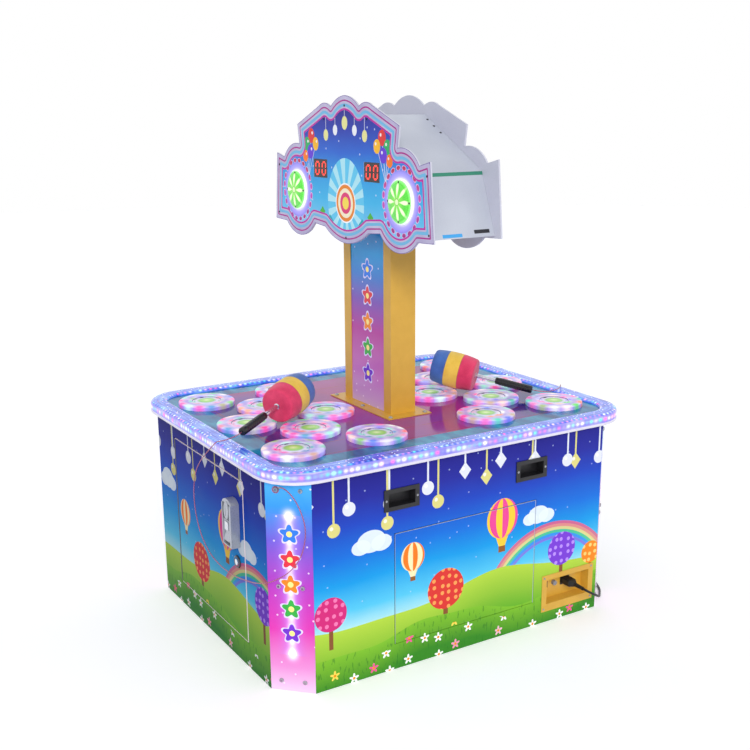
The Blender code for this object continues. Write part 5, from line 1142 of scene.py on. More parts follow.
# Fibreglass circuit board under the targets: dull green, its 0.5 mm weave drawn at 1.2 mm.
clad(finish("green_circuit_board", "#1F6A3C", "#124A28", 800.0, 0.55, 0.00003), "target_board")

# Ring targets.
# Sixteen milky acrylic pucks that press down, with LEDs round the outer edge and round the lens.
# Each glows lavender-white with pink, green and aqua patches, and has a pale green lens in a well.
BUTTON_RADIUS = 0.0820
BUTTON_DEPTH = 0.0245
BUTTON_ROUNDING = 0.005
LENS_RADIUS = 0.0405
OUTER_LIGHTS = 14.0
OUTER_LIGHTS_RADIUS = 0.0775
INNER_LIGHTS = 9.0
INNER_LIGHTS_RADIUS = 0.0480
WELL_RADIUS = 0.0370
WALL_RUN = 0.0840
ROW_COUNTS = (3, 2, 3)
# The profile's outer corner follows r = R - c + c * cos(a) and h = -c + c * sin(a).
RING_PROFILE = [
    (0.0, -BUTTON_DEPTH), (BUTTON_RADIUS, -BUTTON_DEPTH), (BUTTON_RADIUS, -BUTTON_ROUNDING),
]
for angle in np.linspace(0.3, math.pi / 2, 5):
    radius = BUTTON_RADIUS - BUTTON_ROUNDING + BUTTON_ROUNDING * math.cos(angle)
    RING_PROFILE.append((radius, -BUTTON_ROUNDING + BUTTON_ROUNDING * math.sin(angle)))
RING_PROFILE += [
    (0.066, 0.0), (0.052, 0.0), (0.0440, -0.0002), (0.0418, -0.0010), (0.0412, -0.0024), (0.0395, -0.0025),
    (0.036, -0.0022), (0.024, -0.0012), (0.012, -0.0008), (0.0, -0.0006),
]
# Milky acrylic over LEDs: soft lavender-white, with a saturated blush of colour over each light.
GLOW_TONES = (
    (0.0, "#FF3CA0"), (0.15, "#FF78C8"), (0.28, "#1CD6B6"), (0.38, "#DCFFF4"), (0.48, "#FF4AB4"),
    (0.58, "#40DC54"), (0.68, "#6E62FA"), (0.80, "#FFFFFF"), (0.88, "#FF8A54"), (0.94, "#FF50A8"),
    (1.0, "#5CE070"),
)
ring_finish, tree, shader = material("led_lit_milky_acrylic")
_, (turn, run, _) = places(tree, "UV")
point, _ = places(tree)
cloud = grain(tree, point, 34.0, 2.0)
across = run * -1.0 + profile_length(RING_PROFILE)
ring_mark = turn.math("FLOOR")
share = turn.math("FRACT")


def blush(tree, share, ring_mark, lights, seed):
    """Glow of a circle of lights, full over each and faint between them, and each one's colour."""
    cell, middle = repeats(share * lights, 1.0)
    mark = die(cell * 12.9898 + ring_mark * 7.77 + seed)
    return (middle * middle * -7.0).math("EXPONENT"), ramp(tree, mark, *GLOW_TONES)


milk = ramp(tree, cloud, (0.32, "#A890EE"), (0.68, "#DACCFC"))
outer_glow, outer_tone = blush(tree, share, ring_mark, OUTER_LIGHTS, 0.3)
inner_glow, inner_tone = blush(tree, share, ring_mark, INNER_LIGHTS, 5.1)
outer = across.bell(OUTER_LIGHTS_RADIUS, 0.0105)
inner = across.bell(INNER_LIGHTS_RADIUS, 0.0060)
well = across.bell(WELL_RADIUS, 0.0042)
wall = across.above(WALL_RUN)
lens = across.below(LENS_RADIUS)
lens_tone = ramp(
    tree, across / 0.041,
    (0.0, "#E4F6B8"), (0.34, "#A2DC68"), (0.56, "#8ACC7C"), (0.72, "#DCD8F6"), (1.0, "#F2ECFF"),
)
label = share.near(0.5, 0.022) * across.near(0.0390, 0.0028)
outer_share = (outer * outer_glow * 1.25).capped()
inner_share = (inner * inner_glow * 1.15).capped()
colour = paint(
    tree, milk, (outer * 0.45, "#F8F4FF"), (outer_share, outer_tone), (inner * 0.60, "#F8F4FF"),
    (inner_share, inner_tone), (wall, "#BC98FA"), (wall * (outer_glow * 0.80 + 0.05), outer_tone),
    (across.near(0.0418, 0.0014), "#7C78A0"), (lens, lens_tone), (lens * well * inner_glow, inner_tone),
    (label, "#16161C"),
)
glow = (outer_share + inner_share).capped() * 0.24 + wall * 0.04 + lens * 0.06
dress(tree, shader, {
    "Base Color": colour, "Roughness": (cloud - 0.5) * 0.10 + 0.24, "Emission Color": colour,
    "Emission Strength": glow + 0.08, "Coat Weight": 0.15, "Coat Roughness": 0.08,
    "Specular IOR Level": 0.30,
})
relief(tree, shader, cloud, 0.0002)
number = 0
for end in (-1, 1):
    for count in ROW_COUNTS:
        for place in range(count):
            number += 1
            low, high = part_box(f"ring_button_{number:02d}")
            middle = ((low[0] + high[0]) / 2, (low[1] + high[1]) / 2, BUTTON_TOP)
            mesh = turned_mesh(f"ring_target_{number:02d}", RING_PROFILE, 48, [Matrix.Translation(middle)])
            # Each ring's number goes into its map, so that no two show the same colours.
            numbers = np.empty(len(mesh.loops) * 2, np.float32)
            mesh.uv_layers[0].data.foreach_get("uv", numbers)
            numbers[::2] = numbers[::2] * 0.99999 + number
            mesh.uv_layers[0].data.foreach_set("uv", numbers)
            piece(mesh, ring_finish, f"button_{number:02d}", f"ring_button_{number:02d}", slot="target")

# Post and its lit print.
# A folded steel post painted yellow, open front and rear, with a printed acrylic box inside it
# that is softly lit. Its foot is bolted through the playfield with six bolts.
POST_PRINT = (
    (0.0, "#C7A6D6"), (0.14, "#C470BC"), (0.31, "#B4349A"), (0.43, "#7C50B4"), (0.53, "#3C7ECC"),
    (0.62, "#1C9CDC"), (0.74, "#1E8CD4"), (1.0, "#2A60C4"),
)
POST_WINDOW = (0.592, 1.300)
POST_FLOWER_HEIGHTS = (0.985, 0.910, 0.835, 0.760, 0.685)
POST_FLOWER_RADIUS = 0.027
FOOT_TOP = 0.5896
FOOT_SCREWS_X = (-0.151, 0.0, 0.151)
FOOT_SCREWS_Y = (-0.057, 0.057)
# Post print: the same run of colours as the corners, duller, as its lamps are weak.
post_film = ribbon(
    "back_lit_print_in_the_post", lambda x, y: x, *POST_WINDOW, POST_PRINT, POST_FLOWER_HEIGHTS,
    POST_FLOWER_RADIUS,
)
clad(post_film, "column_light_box")
spots = [facing((0.0, 0.0, 1.0), (x, y, FOOT_TOP)) for x in FOOT_SCREWS_X for y in FOOT_SCREWS_Y]
piece(turned_mesh("post_foot_screws", SCREW_HEAD, 14, spots), zinc, "root")

# Header boards.
# Two equal boards of printed acrylic with the same scalloped outline. A silver border with
# magenta and pale blue lines follows the edge, round a field that runs from violet to light blue.
HEADER_LOW = 1.0620
HEADER_HALF_WIDTH = 0.4262
HEADER_HEIGHT = 0.3946
HEADER_FACE = 0.1055
BOARD_WALL = 0.005
LATTICE_STEP = 0.0045
LATTICE_CLEAR = 0.0025
LAMP_PLACE = (0.2800, 1.1935)
DISPLAY_PLACE = (0.13852, 1.26048)
DISPLAY_SIZE = (0.0785, 0.0510)
CROWN = ((0.0, 1.0), (0.0925, 0.9800), (0.1771, 0.9275))
SHOULDER = ((0.1771, 0.9275), (0.2628, 0.9534), (0.3332, 0.9326))
WING = ((0.6182, 0.6678), (0.7508, 0.6513), (0.8489, 0.5664))
LOBE = ((0.8329, 0.0900), (0.6382, 0.0013), (0.4176, 0.1064))
WAVE = ((0.2769, 0.0933), (0.1420, 0.0245), (0.0, 0.0))


def arc(start, through, end, steps):
    """Points on the circle through three points, without the last one."""
    (ax, ay), (bx, by), (cx, cy) = start, through, end
    cross = 2 * (ax * (by - cy) + bx * (cy - ay) + cx * (ay - by))
    squares = (ax * ax + ay * ay, bx * bx + by * by, cx * cx + cy * cy)
    x = (squares[0] * (by - cy) + squares[1] * (cy - ay) + squares[2] * (ay - by)) / cross
    y = (squares[0] * (cx - bx) + squares[1] * (ax - cx) + squares[2] * (bx - ax)) / cross
    radius = math.hypot(ax - x, ay - y)
    first = math.atan2(ay - y, ax - x)
    middle = (math.atan2(by - y, bx - x) - first) % (2 * math.pi)
    sweep = (math.atan2(cy - y, cx - x) - first) % (2 * math.pi)
    if middle > sweep:
        sweep -= 2 * math.pi
    turns = [first + sweep * step / steps for step in range(steps)]
    return [(x + radius * math.cos(a), y + radius * math.sin(a)) for a in turns]


def header_spot(shares):
    """Point of the boards from its shares of half width and height."""
    return (shares[0] * HEADER_HALF_WIDTH, HEADER_LOW + shares[1] * HEADER_HEIGHT)


def header_outline(fineness):
    """Outline of the boards: a crown, shoulders, wings and lobes, mirrored about the middle."""
    def run(arch, steps):
        return arc(*[header_spot(shares) for shares in arch], steps * fineness)

    right = run(CROWN, 5) + run(SHOULDER, 6) + [header_spot(SHOULDER[2]), header_spot((0.6394, 0.8059))]
    right += run(WING, 6) + [header_spot(place) for place in (WING[2], (0.9573, 0.5943), (1.0, 0.0976))]
    right += run(LOBE, 10) + [header_spot(LOBE[2])] + run(WAVE, 5) + [header_spot(WAVE[2])]
    return right + [(-x, z) for x, z in reversed(right[1:-1])]


def fine_path(points, step):
    """The same closed path with extra points on its long runs."""
    made = []
    for (ax, az), (bx, bz) in zip(points, points[1:] + points[:1]):
        parts = max(1, math.ceil(math.dist((ax, az), (bx, bz)) / step))
        made += [(ax + (bx - ax) * i / parts, az + (bz - az) * i / parts) for i in range(parts)]
    return made


def inside(points, path):
    """Whether each point lies within a closed path, by the sides that a ray from it crosses."""
    path = np.array(path)
    after = np.roll(path, -1, 0)
    x, z = points[:, :1], points[:, 1:]
    crosses = (path[:, 1] > z) != (after[:, 1] > z)
    rise = np.where(np.abs(after[:, 1] - path[:, 1]) < 1e-12, 1e-12, after[:, 1] - path[:, 1])
    at = path[:, 0] + (z - path[:, 1]) / rise * (after[:, 0] - path[:, 0])
    return (crosses & (x < at)).sum(1) % 2 == 1


def edge_distance(points, path):
    """Distance from each point to a closed path."""
    path = np.array(path)
    least = np.full(len(points), 1e9)
    for start, way in zip(path, np.roll(path, -1, 0) - path):
        share = np.clip(((points - start) @ way) / max(way @ way, 1e-12), 0.0, 1.0)
        least = np.minimum(least, np.linalg.norm(points - start - share[:, None] * way, axis=1))
    return least


outline = fine_path(header_outline(3), 0.005)
half_w, half_h = DISPLAY_SIZE[0] / 2, DISPLAY_SIZE[1] / 2
windows = []
for side in (1, -1):
    x, z = side * DISPLAY_PLACE[0], DISPLAY_PLACE[1]
    corners = [(x + a * half_w, z + b * half_h) for a, b in ((-1, -1), (1, -1), (1, 1), (-1, 1))]
    windows.append(fine_path(corners, 0.006))
# A lattice of staggered rows fills the board, so that the distance to its edge runs evenly.
lattice = np.meshgrid(np.arange(-0.43, 0.43, LATTICE_STEP), np.arange(1.06, 1.46, LATTICE_STEP))
lattice = np.stack(lattice, 2).reshape(-1, 2)
lattice[:, 0] += (np.round(lattice[:, 1] / LATTICE_STEP) % 2) * LATTICE_STEP / 2
lattice = lattice[inside(lattice, outline)]
lattice = lattice[edge_distance(lattice, outline) > LATTICE_CLEAR]
for window in windows:
    lattice = lattice[~inside(lattice, window)]
    lattice = lattice[edge_distance(lattice, window) > LATTICE_CLEAR]
borders = [outline, *windows]
flat = np.concatenate([np.array(border) for border in borders] + [lattice])
ties, rim_count = [], 0
for border in borders:
    ties += [(rim_count + i, rim_count + (i + 1) % len(border)) for i in range(len(border))]
    rim_count += len(border)


def trimmed(points, ties):
    """Triangles of a plane that keep a set of ties and lie inside the outline and off the windows."""
    made = geometry.delaunay_2d_cdt([Vector(point) for point in points], ties, [], 0, 1e-7)
    if len(made[0]) != len(points):
        raise ValueError("the board's points were merged")
    triangles = np.array([face for face in made[2] if len(face) == 3])
    triangles = np.array([origin[0] for origin in made[3]])[triangles]
    middles = points[triangles].mean(1)
    keep = inside(middles, outline)
    for window in windows:
        keep &= ~inside(middles, window)
    return triangles[keep]


fine = trimmed(flat, ties)
coarse = trimmed(flat[:rim_count], ties)
distance = edge_distance(flat, outline)
# Bare back and edges of the acrylic: plain lavender-grey with a soft gloss.
acrylic_back = finish("lavender_grey_acrylic_back", "#CDCEDB", "#C6C7D6", 420.0, 0.30, 0.00001)

# Printed acrylic: a pearl border with lines that keep to the edge, round a deep picture whose
# gloss is slight.
FIELD_TONES = (
    (0.08, "#84CCF4"), (0.30, "#42BCEE"), (0.48, "#2C9CE4"), (0.62, "#2A6AD4"), (0.78, "#2A3EB0"),
    (0.90, "#2A2490"), (1.0, "#281A70"),
)
TARGET_PLACE = (0.0, 1.172)
FAN_RADIUS = 0.098
FAN_RAYS = 14.0
TARGET_RINGS = (
    (0.054, "#FFFFFF"), (0.050, "#F08A2C"), (0.040, "#FFF3D0"), (0.029, "#E6407C"), (0.017, "#FFE25A"),
)
HUNG_LIGHTS = (
    (0.0, 1.385, 0.015, "#ECE79C"), (0.052, 1.366, 0.012, "#F2F4FA"), (0.104, 1.352, 0.013, "#ECE79C"),
)
PETALS = 20
PETAL_PLACE = 0.0845
PETAL_HALF = (0.0088, 0.0058)
BALLOON_BUNCH = (
    (0.190, 1.349, 0.0185, "#E63A3A"), (0.216, 1.326, 0.0175, "#2FB467"), (0.165, 1.327, 0.0165, "#FFC02E"),
    (0.196, 1.305, 0.0180, "#6A3CD8"), (0.226, 1.292, 0.0150, "#FF7F26"),
)
BUNCH_TIE = (0.207, 1.236)
SHARDS = ((0.088, 1.118, 0.018, "#20A8B8"), (0.0, 1.093, 0.0, "#F08A2C"), (0.130, 1.142, 0.014, "#4CB83C"))
header_print, tree, shader = material("printed_acrylic_header")
_, (rim, _, _) = places(tree, "UV")
point, (x, y, z) = places(tree)
u = x.size()
plane = add(tree, "CombineXYZ", (x, z, 0.0))
soft = grain(tree, point, 14.0, 2.0)
field = ramp(tree, (z - HEADER_LOW) / HEADER_HEIGHT + (soft - 0.5) * 0.05, *FIELD_TONES)
spark, _, (chance, _) = cells(tree, plane, 26.0, 1.0)
layers = [(spark.below(0.070) * chance.below(0.30) * 0.7, "#DCEBFF")]
fan_x, fan_z = x - TARGET_PLACE[0], z - TARGET_PLACE[1]
fan = (fan_z.math("ARCTAN2", fan_x) * FAN_RAYS).sine().below(0.0)
fan_reach = radial(fan_x, fan_z, 0.66)
fan_disc = fan_reach.below(FAN_RADIUS)
layers += [(fan_disc, "#64CCF2"), (fan_disc * fan, "#B4ECF8")]
disc = radial(fan_x, fan_z)
layers += [(disc.below(radius), tone) for radius, tone in TARGET_RINGS]
for place, height, radius, tone in HUNG_LIGHTS:
    across, rise = u - place, z - height
    string = across.near(0.0, 0.0014) * rise.above(0.0)
    bulb = radial(across, rise, 0.7)
    layers += [(string * 0.7, "#E4E8F4"), (bulb.below(radius), tone)]
for place, height, radius, tone in BALLOON_BUNCH:
    rise = z - BUNCH_TIE[1]
    lean = (place - BUNCH_TIE[0]) / (height - BUNCH_TIE[1])
    half = (height - BUNCH_TIE[1]) / 2
    layers.append(((u - rise * lean).near(BUNCH_TIE[0], 0.0010) * rise.near(half, half), "#E8E6F6"))
for place, height, radius, tone in BALLOON_BUNCH:
    across, rise = u - place, z - height
    ball = radial(across, rise, 0.8)
    shine = radial(across + radius * 0.35, rise - radius * 0.4)
    layers += [(ball.below(radius), tone), (shine.below(radius * 0.24) * 0.8, "#FFFFFF")]
for place, height, radius, tone in SHARDS:
    across, rise = (u - place).size(), (z - height).size()
    layers.append(((across * 0.9 + rise).below(radius), tone))
dx, dz = u - LAMP_PLACE[0], z - LAMP_PLACE[1]
reach = radial(dx, dz)
slot = dz.math("ARCTAN2", dx) * (PETALS / (2 * math.pi))
swing = (slot.math("FRACT") - 0.5) * (2 * math.pi * PETAL_PLACE / PETALS / PETAL_HALF[0])
lift = (reach - PETAL_PLACE) / PETAL_HALF[1]
petal = swing * swing + lift * lift
climb = dz * 6.0 + 0.5
petal_tone = ramp(tree, climb, (0.1, "#A41C7C"), (0.5, "#D04CC0"), (0.9, "#C01E48"))
silver = ramp(tree, soft, (0.3, "#B4ADD0"), (0.7, "#CDC7E2"))
# The bloom is painted light: a pale glow round each lamp that turns violet further out.
bloom = ramp(tree, reach / 0.080, (0.72, "#ECE6FF"), (0.80, "#AAA0F6"), (1.0, "#8880EC"))
layers += [
    (petal.below(1.5), "#E6B4E4"), (petal.below(0.85), petal_tone), (reach.below(0.0785), bloom),
    (rim.below(0.0380), silver), (rim.near(0.0355, 0.0024), "#C424A0"),
    (rim.near(0.0250, 0.0040), "#74BCE4"), (rim.near(0.0130, 0.0020), "#B0268E"),
    (rim.below(0.0016), "#7C6CA8"),
]
colour = paint(tree, field, *layers)
# Painted light: a glow of the lamps on the board round each, given its own emission.
painted_lamp_glow = reach.bell(0.062, 0.018)
dress(tree, shader, {
    "Base Color": colour, "Roughness": (soft - 0.5) * 0.06 + 0.20, "Emission Color": "#CFC4FF",
    "Emission Strength": painted_lamp_glow * 0.20, "Coat Weight": 0.12, "Coat Roughness": 0.06,
    "Specular IOR Level": 0.12,
})
relief(tree, shader, soft, 0.00004)
for end, side in ENDS:
    turned_x = flat[:, 0] * -side
    face = np.stack([turned_x, np.full(len(flat), side * HEADER_FACE), flat[:, 1]], 1)
    back_y = np.full(rim_count, side * (HEADER_FACE - BOARD_WALL))
    behind = np.stack([turned_x[:rim_count], back_y, flat[:rim_count, 1]], 1)
    back_start = len(face)
    faces = [list(triangle) for triangle in fine]
    faces += [[back_start + c, back_start + b, back_start + a] for a, b, c in coarse]
    faces += [[a, back_start + a, back_start + b, b] for a, b in ties]
    points = np.concatenate([face, behind])
    rims = np.concatenate([distance, distance[:rim_count]])
    uv = [(rims[corner], 0.0) for facet in faces for corner in facet]
    mesh = solid_mesh(f"header_board_{end}_print", points, faces, uv, False)
    mesh.materials.append(header_print)
    mesh.materials.append(acrylic_back)
    kinds = np.ones(len(faces), np.int32)
    kinds[:len(fine)] = 0
    mesh.polygons.foreach_set("material_index", kinds)
    piece(mesh, None, "root", f"header_board_{end}", slot="header_print")

# Score displays.
# A two-digit red seven-segment unit shows through each window, on a near-black face.
# All four digits show a nought, so that the middle bar of each stays a dull dark red.
display_black = finish("dark_display_face", "#2A0507", "#140203", 500.0, 0.18, 0.00002)
clad(display_black, "score_display_front", "score_display_rear")
# Lit segments: hot red-orange, evenly bright with their own light.
lit_red, tree, shader = material("lit_red_segments")
point, _ = places(tree)
spread = grain(tree, point, 700.0, 2.0)
red = ramp(tree, spread, (0.3, "#FF2418"), (0.7, "#FF4636"))
dress(tree, shader, {"Base Color": red, "Roughness": 0.3, "Emission Color": red, "Emission Strength": 1.0})
dead_red = finish("unlit_segments", "#5C0A0C", "#420608", 700.0, 0.35, 0.00001)
# Each bar has its share across and up, and whether it stands upright.
SEGMENTS = ((0, 1, 0), (-0.5, 0.5, 1), (0.5, 0.5, 1), (-0.5, -0.5, 1), (0.5, -0.5, 1), (0, -1, 0))
MIDDLE_BAR = ((0, 0, 0),)
SEGMENT_HALF = 0.0072
SEGMENT_THIN = 0.0024
SEGMENT_PROUD = 0.00022
DIGIT_REACH = 0.0185
DIGIT_SIZE = (0.0190, 0.0170)
DIGIT_SLANT = 0.06
FACE_SETBACK = 0.0005


def digits(name, bars_of_digit, side):
    """Six-sided plates of the four digits of one end, just proud of the displays' faces.

    A plate is its outline moved by its bar's place in the digit, and leans by DIGIT_SLANT of the height.
    """
    long, thin = SEGMENT_HALF, SEGMENT_THIN
    lying = np.array([(-long, 0), (thin - long, -thin), (long - thin, -thin)])
    lying = np.concatenate([lying, -lying])
    standing = lying[:, ::-1] * (-1, 1)
    plates = []
    for middle in (-DISPLAY_PLACE[0], DISPLAY_PLACE[0]):
        for place in (-DIGIT_REACH, DIGIT_REACH):
            for across, up, upright in bars_of_digit:
                plate = (standing if upright else lying) + (across * DIGIT_SIZE[0], up * DIGIT_SIZE[1])
                plates.append(plate + (middle + place, 0.0) + plate[:, 1:] * (DIGIT_SLANT, 0.0))
    x, z = np.moveaxis(np.array(plates), 2, 0)
    layers = []
    for face in (HEADER_FACE - FACE_SETBACK, HEADER_FACE - FACE_SETBACK + SEGMENT_PROUD):
        layers.append(np.stack([-side * x, side * face + 0 * x, DISPLAY_PLACE[1] + z], 2))
    points = np.concatenate(layers, 1).reshape(-1, 3)
    ring = np.arange(6)
    after = (ring + 1) % 6
    sides = np.stack([ring, after, after + 6, ring + 6], 1)
    faces = [loop + start for start in range(0, len(points), 12) for loop in (ring[::-1], ring + 6, *sides)]
    return solid_mesh(name, points, faces, None, False)


for end, side in ENDS:
    piece(digits(f"display_lit_segments_{end}", SEGMENTS, side), lit_red, "root")
    piece(digits(f"display_dead_segments_{end}", MIDDLE_BAR, side), dead_red, "root")

# Round lamps.
# Ribbed green lenses with a bulb behind, each held by four dark screws through its rim.
# Eight pale petals of light spread from the middle of each lens.
LAMP_RADIUS = 0.0575
LAMP_DOME = 0.0135
LAMP_RIM = 0.0044
LAMP_SCREWS = 0.0490
LAMP_SCREW_LIFT = 0.0082
LAMP_RAYS = 8
LAMP_RIBS = 48
# The dome follows r = 0.965 R cos(a) and h = B + (D - B) sin(a), B its rim and D its height.
LAMP_PROFILE = [(0.0, 0.0002), (LAMP_RADIUS, 0.0002), (LAMP_RADIUS, 0.0035)]
LAMP_PROFILE.append((LAMP_RADIUS - 0.0012, LAMP_RIM))
for angle in np.linspace(0.05, math.pi / 2 - 0.12, 9):
    height = LAMP_RIM + (LAMP_DOME - LAMP_RIM) * math.sin(angle)
    LAMP_PROFILE.append((0.965 * LAMP_RADIUS * math.cos(angle), height))
LAMP_PROFILE.append((0.0, LAMP_DOME))
# Moulded green lens: lit lime green, with paler rays where the bulb shines straight through.
lamp_finish, tree, shader = material("lit_green_ribbed_lens")
_, (turn, run, _) = places(tree, "UV")
out = (run * -1.0 + profile_length(LAMP_PROFILE)) / LAMP_RADIUS
ray = (turn * (2 * math.pi * LAMP_RAYS)).math("COSINE")
width = out.bell(0.52, 0.28) * 1.05
petal = ((ray + width - 1.0).math("MAXIMUM", 0.0) * 1.8).capped()
ribs = (turn * (2 * math.pi * LAMP_RIBS)).sine()
green = ramp(
    tree, out, (0.0, "#D4FF8C"), (0.22, "#7CE63C"), (0.58, "#46CC28"), (0.84, "#56DC34"), (1.0, "#A4FF9C"),
)
colour = paint(
    tree, green, ((ribs * 0.5 + 0.5) * 0.16, "#1C9A14"), (petal * 0.85, "#EEFFCC"),
    (out.below(0.12), "#E8FFC0"), (out.near(0.15, 0.02) * 0.5, "#2C9A20"),
    (out.near(0.80, 0.02) * 0.35, "#2CA81C"), (out.above(0.965), "#F2FFF0"),
)
dress(tree, shader, {
    "Base Color": colour, "Roughness": ribs * 0.03 + 0.12, "Emission Color": colour,
    "Emission Strength": petal * 0.15 + 0.35, "Coat Weight": 0.3, "Coat Roughness": 0.05,
})
relief(tree, shader, ribs, 0.00025)
spots = []
for number in range(1, 5):
    low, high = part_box(f"lamp_lens_{number}")
    middle_x = math.copysign(LAMP_PLACE[0], low[0])
    side = math.copysign(1.0, low[1])
    frame_at = facing((0.0, side, 0.0), (middle_x, side * HEADER_FACE, LAMP_PLACE[1]))
    mesh = turned_mesh(f"round_lamp_{number}", LAMP_PROFILE, 96, [frame_at])
    piece(mesh, lamp_finish, "root", f"lamp_lens_{number}", slot="lamp")
    for quarter in range(4):
        angle = math.pi / 2 * quarter
        x = middle_x + LAMP_SCREWS * math.cos(angle)
        z = LAMP_PLACE[1] + LAMP_SCREWS * math.sin(angle)
        spots.append(facing((0.0, side, 0.0), (x, side * (HEADER_FACE + LAMP_SCREW_LIFT), z)))
dark_screws = finish("black_oxide_screws", "#34343A", "#18181C", 700.0, 0.34, 0.00003, Metallic=0.7)
HEADER_SCREWS = (
    (0.0, 1.078), (-0.115, 1.395), (0.115, 1.395), (0.405, 1.120), (-0.405, 1.120), (0.395, 1.262),
    (-0.395, 1.262), (0.0, 1.43),
)
for side in (-1, 1):
    for x, z in HEADER_SCREWS:
        spots.append(facing((0.0, side, 0.0), (x, side * (HEADER_FACE + 0.0001), z)))
piece(turned_mesh("header_screws", SMALL_SCREW, 12, spots), dark_screws, "root")

# Header cover.
# One folded sheet closes the gap between the boards. It is painted pale grey, with a green line
# at its fold and plain blue and black bars low on each side.
COVER_EAVE = 0.3414
COVER_RIDGE = 0.0830
EAVE_HEIGHT = 1.2663
RIDGE_HEIGHT = 1.4055
COVER_FACE = 0.3417
EAVE_LINE = (1.2610, 0.0045)
BLUE_BAR = (1.1140, 0.0042, -0.030, 0.030)
BLACK_BAR = (1.1200, 0.0046, 0.062, 0.024)
COVER_SCREWS_Y = 0.090
COVER_SCREW_SHARES = (0.10, 0.22, 0.34)
# Painted sheet: cool pale grey and half matt, slightly clouded, its fine spray drawn at 2.4 mm.
cover_finish, tree, shader = material("pale_grey_painted_sheet")
point, (x, y, z) = places(tree)
fine = grain(tree, point, 420.0, 3.0)
broad = grain(tree, point, 6.0, 2.0)
base = ramp(tree, fine * 0.3 + broad * 0.7, (0.34, "#B0B5C2"), (0.66, "#C0C5D0"))
outer = x.size().above(COVER_FACE)
layers = [(z.near(*EAVE_LINE) * outer, "#2E8068")]
for (height, half, middle, reach), tone in ((BLUE_BAR, "#3FA0E0"), (BLACK_BAR, "#1C1C24")):
    layers.append((z.near(height, half) * outer * (y - middle).near(0.0, reach), tone))
colour = paint(tree, base, *layers)
dress(tree, shader, {"Base Color": colour, "Roughness": (fine - 0.5) * 0.12 + 0.42})
relief(tree, shader, fine, 0.00005)
clad(cover_finish, "header_cover")
run, rise = COVER_EAVE - COVER_RIDGE, RIDGE_HEIGHT - EAVE_HEIGHT
spots = []
for side_x, side_y in CORNERS:
    for down in COVER_SCREW_SHARES:
        x, z = side_x * (COVER_RIDGE + run * down), RIDGE_HEIGHT - rise * down + 0.0004
        spots.append(facing((side_x * rise, 0.0, run), (x, side_y * COVER_SCREWS_Y, z)))
piece(turned_mesh("cover_screws", SMALL_SCREW, 12, spots), dark_screws, "root")

# Mallets.
# Soft foam heads in three glued bands, blue, yellow and red from the far end to the handle, on a
# bright rod with a black ribbed grip.
HEAD_HALF = 0.065
END_RADIUS = 0.0475
SWELL = 0.0065
EDGE = 0.004
SEAM_HALF = 0.0007
ROD_RADIUS = 0.0060
GRIP_LENGTH = 0.113
GRIP_RADIUS = 0.0112
RIB_RADIUS = 0.0107
RIB_PITCH = 0.0088
RIBS = 9
# Distance along the profile from the middle of the far end to where the barrel would meet it.
FACE_RUN = END_RADIUS - EDGE + EDGE * (math.pi / 2 - 1)
# Foam rubber: matt and a little velvety, its bands clean at the joins. Its 0.3 mm pores are drawn
# at 1 mm, as slight pits.
foam, tree, shader = material("banded_soft_foam")
_, (_, run, _) = places(tree, "UV")
point, _ = places(tree)
pores = grain(tree, point, 900.0, 4.0)
shade = pores * 0.5 + grain(tree, point, 30.0, 2.0) * 0.5
bands = []
for low, high in (("#365EA4", "#4E7CC8"), ("#E2B840", "#F6D25C"), ("#C82C54", "#EC4872")):
    bands.append(ramp(tree, shade, (0.34, low), (0.66, high)))
along = run - FACE_RUN
first, second = 2 * HEAD_HALF / 3, 4 * HEAD_HALF / 3
seam = (along.near(first, SEAM_HALF) + along.near(second, SEAM_HALF)).capped()
colour = paint(
    tree, bands[0], (along.above(first), bands[1]),
    (along.above(second), bands[2]), (seam * 0.45, "#5A3A44"),
)
dress(tree, shader, {
    "Base Color": colour, "Roughness": pores * 0.2 + 0.50, "Sheen Weight": 0.15, "Specular IOR Level": 0.4,
})
relief(tree, shader, pores, 0.00025)
# Grip rubber: a softly shining black that takes a long highlight down each rib.
grip_rubber = finish("glossy_black_grip_rubber", "#1A1A1D", "#0E0E11", 500.0, 0.24, 0.00003)


def rounding(centre, turns):
    """Points r = E - e + e sin(a), h = side (H - e + e cos(a)) of an edge of the head."""
    made = []
    for angle in turns:
        height = HEAD_HALF - EDGE + EDGE * math.cos(angle)
        made.append((END_RADIUS - EDGE + EDGE * math.sin(angle), centre * height))
    return made


HEAD_PROFILE = [(0.0, -HEAD_HALF), (END_RADIUS - EDGE, -HEAD_HALF), *rounding(-1, (0.4, 0.8, 1.2))]
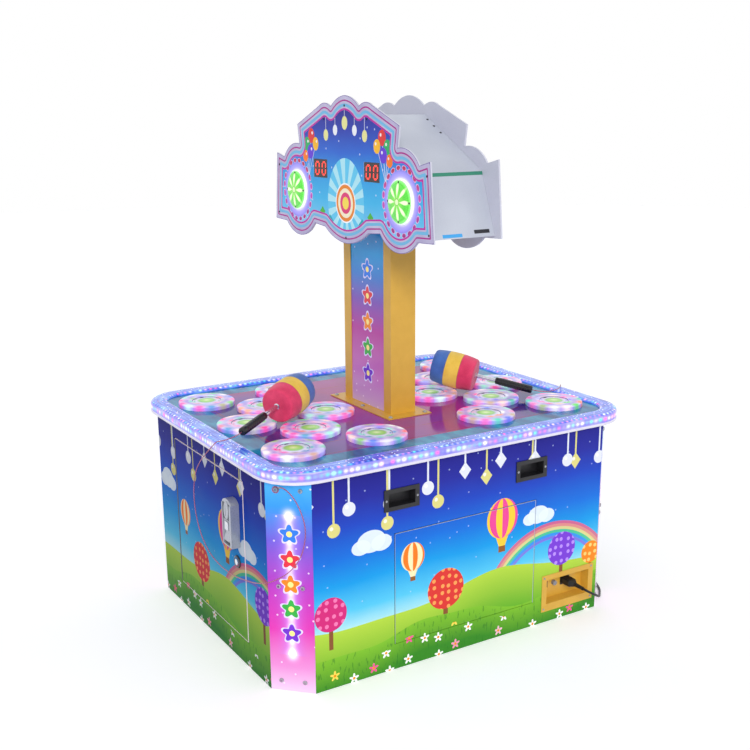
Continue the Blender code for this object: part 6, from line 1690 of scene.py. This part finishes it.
# The barrel follows r = E + S (1 - (h / H) squared).
for height in np.linspace(-HEAD_HALF + EDGE, HEAD_HALF - EDGE, 15):
    HEAD_PROFILE.append((END_RADIUS + SWELL * (1 - (height / HEAD_HALF) ** 2), height))
HEAD_PROFILE += rounding(1, (1.2, 0.8, 0.4))
HEAD_PROFILE += [(END_RADIUS - EDGE, HEAD_HALF), (0.014, HEAD_HALF), (0.0, HEAD_HALF - 0.001)]
grip_low, grip_high = GRIP_END - GRIP_LENGTH, GRIP_END
ROD_PROFILE = [
    (0.0, -HEAD_HALF - 0.0043), (0.0105, -HEAD_HALF - 0.0043), (0.0130, -HEAD_HALF - 0.0023),
    (0.0130, -HEAD_HALF - 0.0002), (ROD_RADIUS, -HEAD_HALF + 0.001), (ROD_RADIUS, HEAD_HALF - 0.002),
    (0.0082, HEAD_HALF - 0.001), (0.0082, HEAD_HALF + 0.0012), (ROD_RADIUS, HEAD_HALF + 0.0018),
    (ROD_RADIUS, grip_low + 0.004), (0.0, grip_low + 0.004),
]
GRIP_PROFILE = [
    (0.0, grip_low), (0.0072, grip_low), (0.0096, grip_low + 0.0012), (0.0104, grip_low + 0.004),
    (0.0104, grip_low + 0.012), (GRIP_RADIUS, grip_low + 0.014),
]
for step in range(RIBS):
    start = grip_low + 0.018 + step * RIB_PITCH
    for rise, radius in enumerate((GRIP_RADIUS, RIB_RADIUS, RIB_RADIUS, GRIP_RADIUS)):
        GRIP_PROFILE.append((radius, start + rise * 0.0010))
GRIP_PROFILE += [
    (GRIP_RADIUS, grip_high - 0.009), (GRIP_RADIUS, grip_high - 0.003), (0.0100, grip_high - 0.0006),
    (0.0086, grip_high), (0.0030, grip_high), (0.0026, grip_high - 0.0006), (0.0, grip_high - 0.0006),
]
for end in ("front", "rear"):
    at, body = mallet_frame(end), f"mallet_{end}"
    head = turned_mesh(f"mallet_foam_{end}", HEAD_PROFILE, 56, [at])
    piece(head, foam, body, f"mallet_head_{end}", slot="foam")
    grip = turned_mesh(f"mallet_grip_{end}", GRIP_PROFILE, 32, [at])
    piece(grip, grip_rubber, body, f"mallet_handle_{end}", slot="mallet_handle")
    piece(turned_mesh(f"mallet_rod_{end}", ROD_PROFILE, 28, [at]), chrome, body)
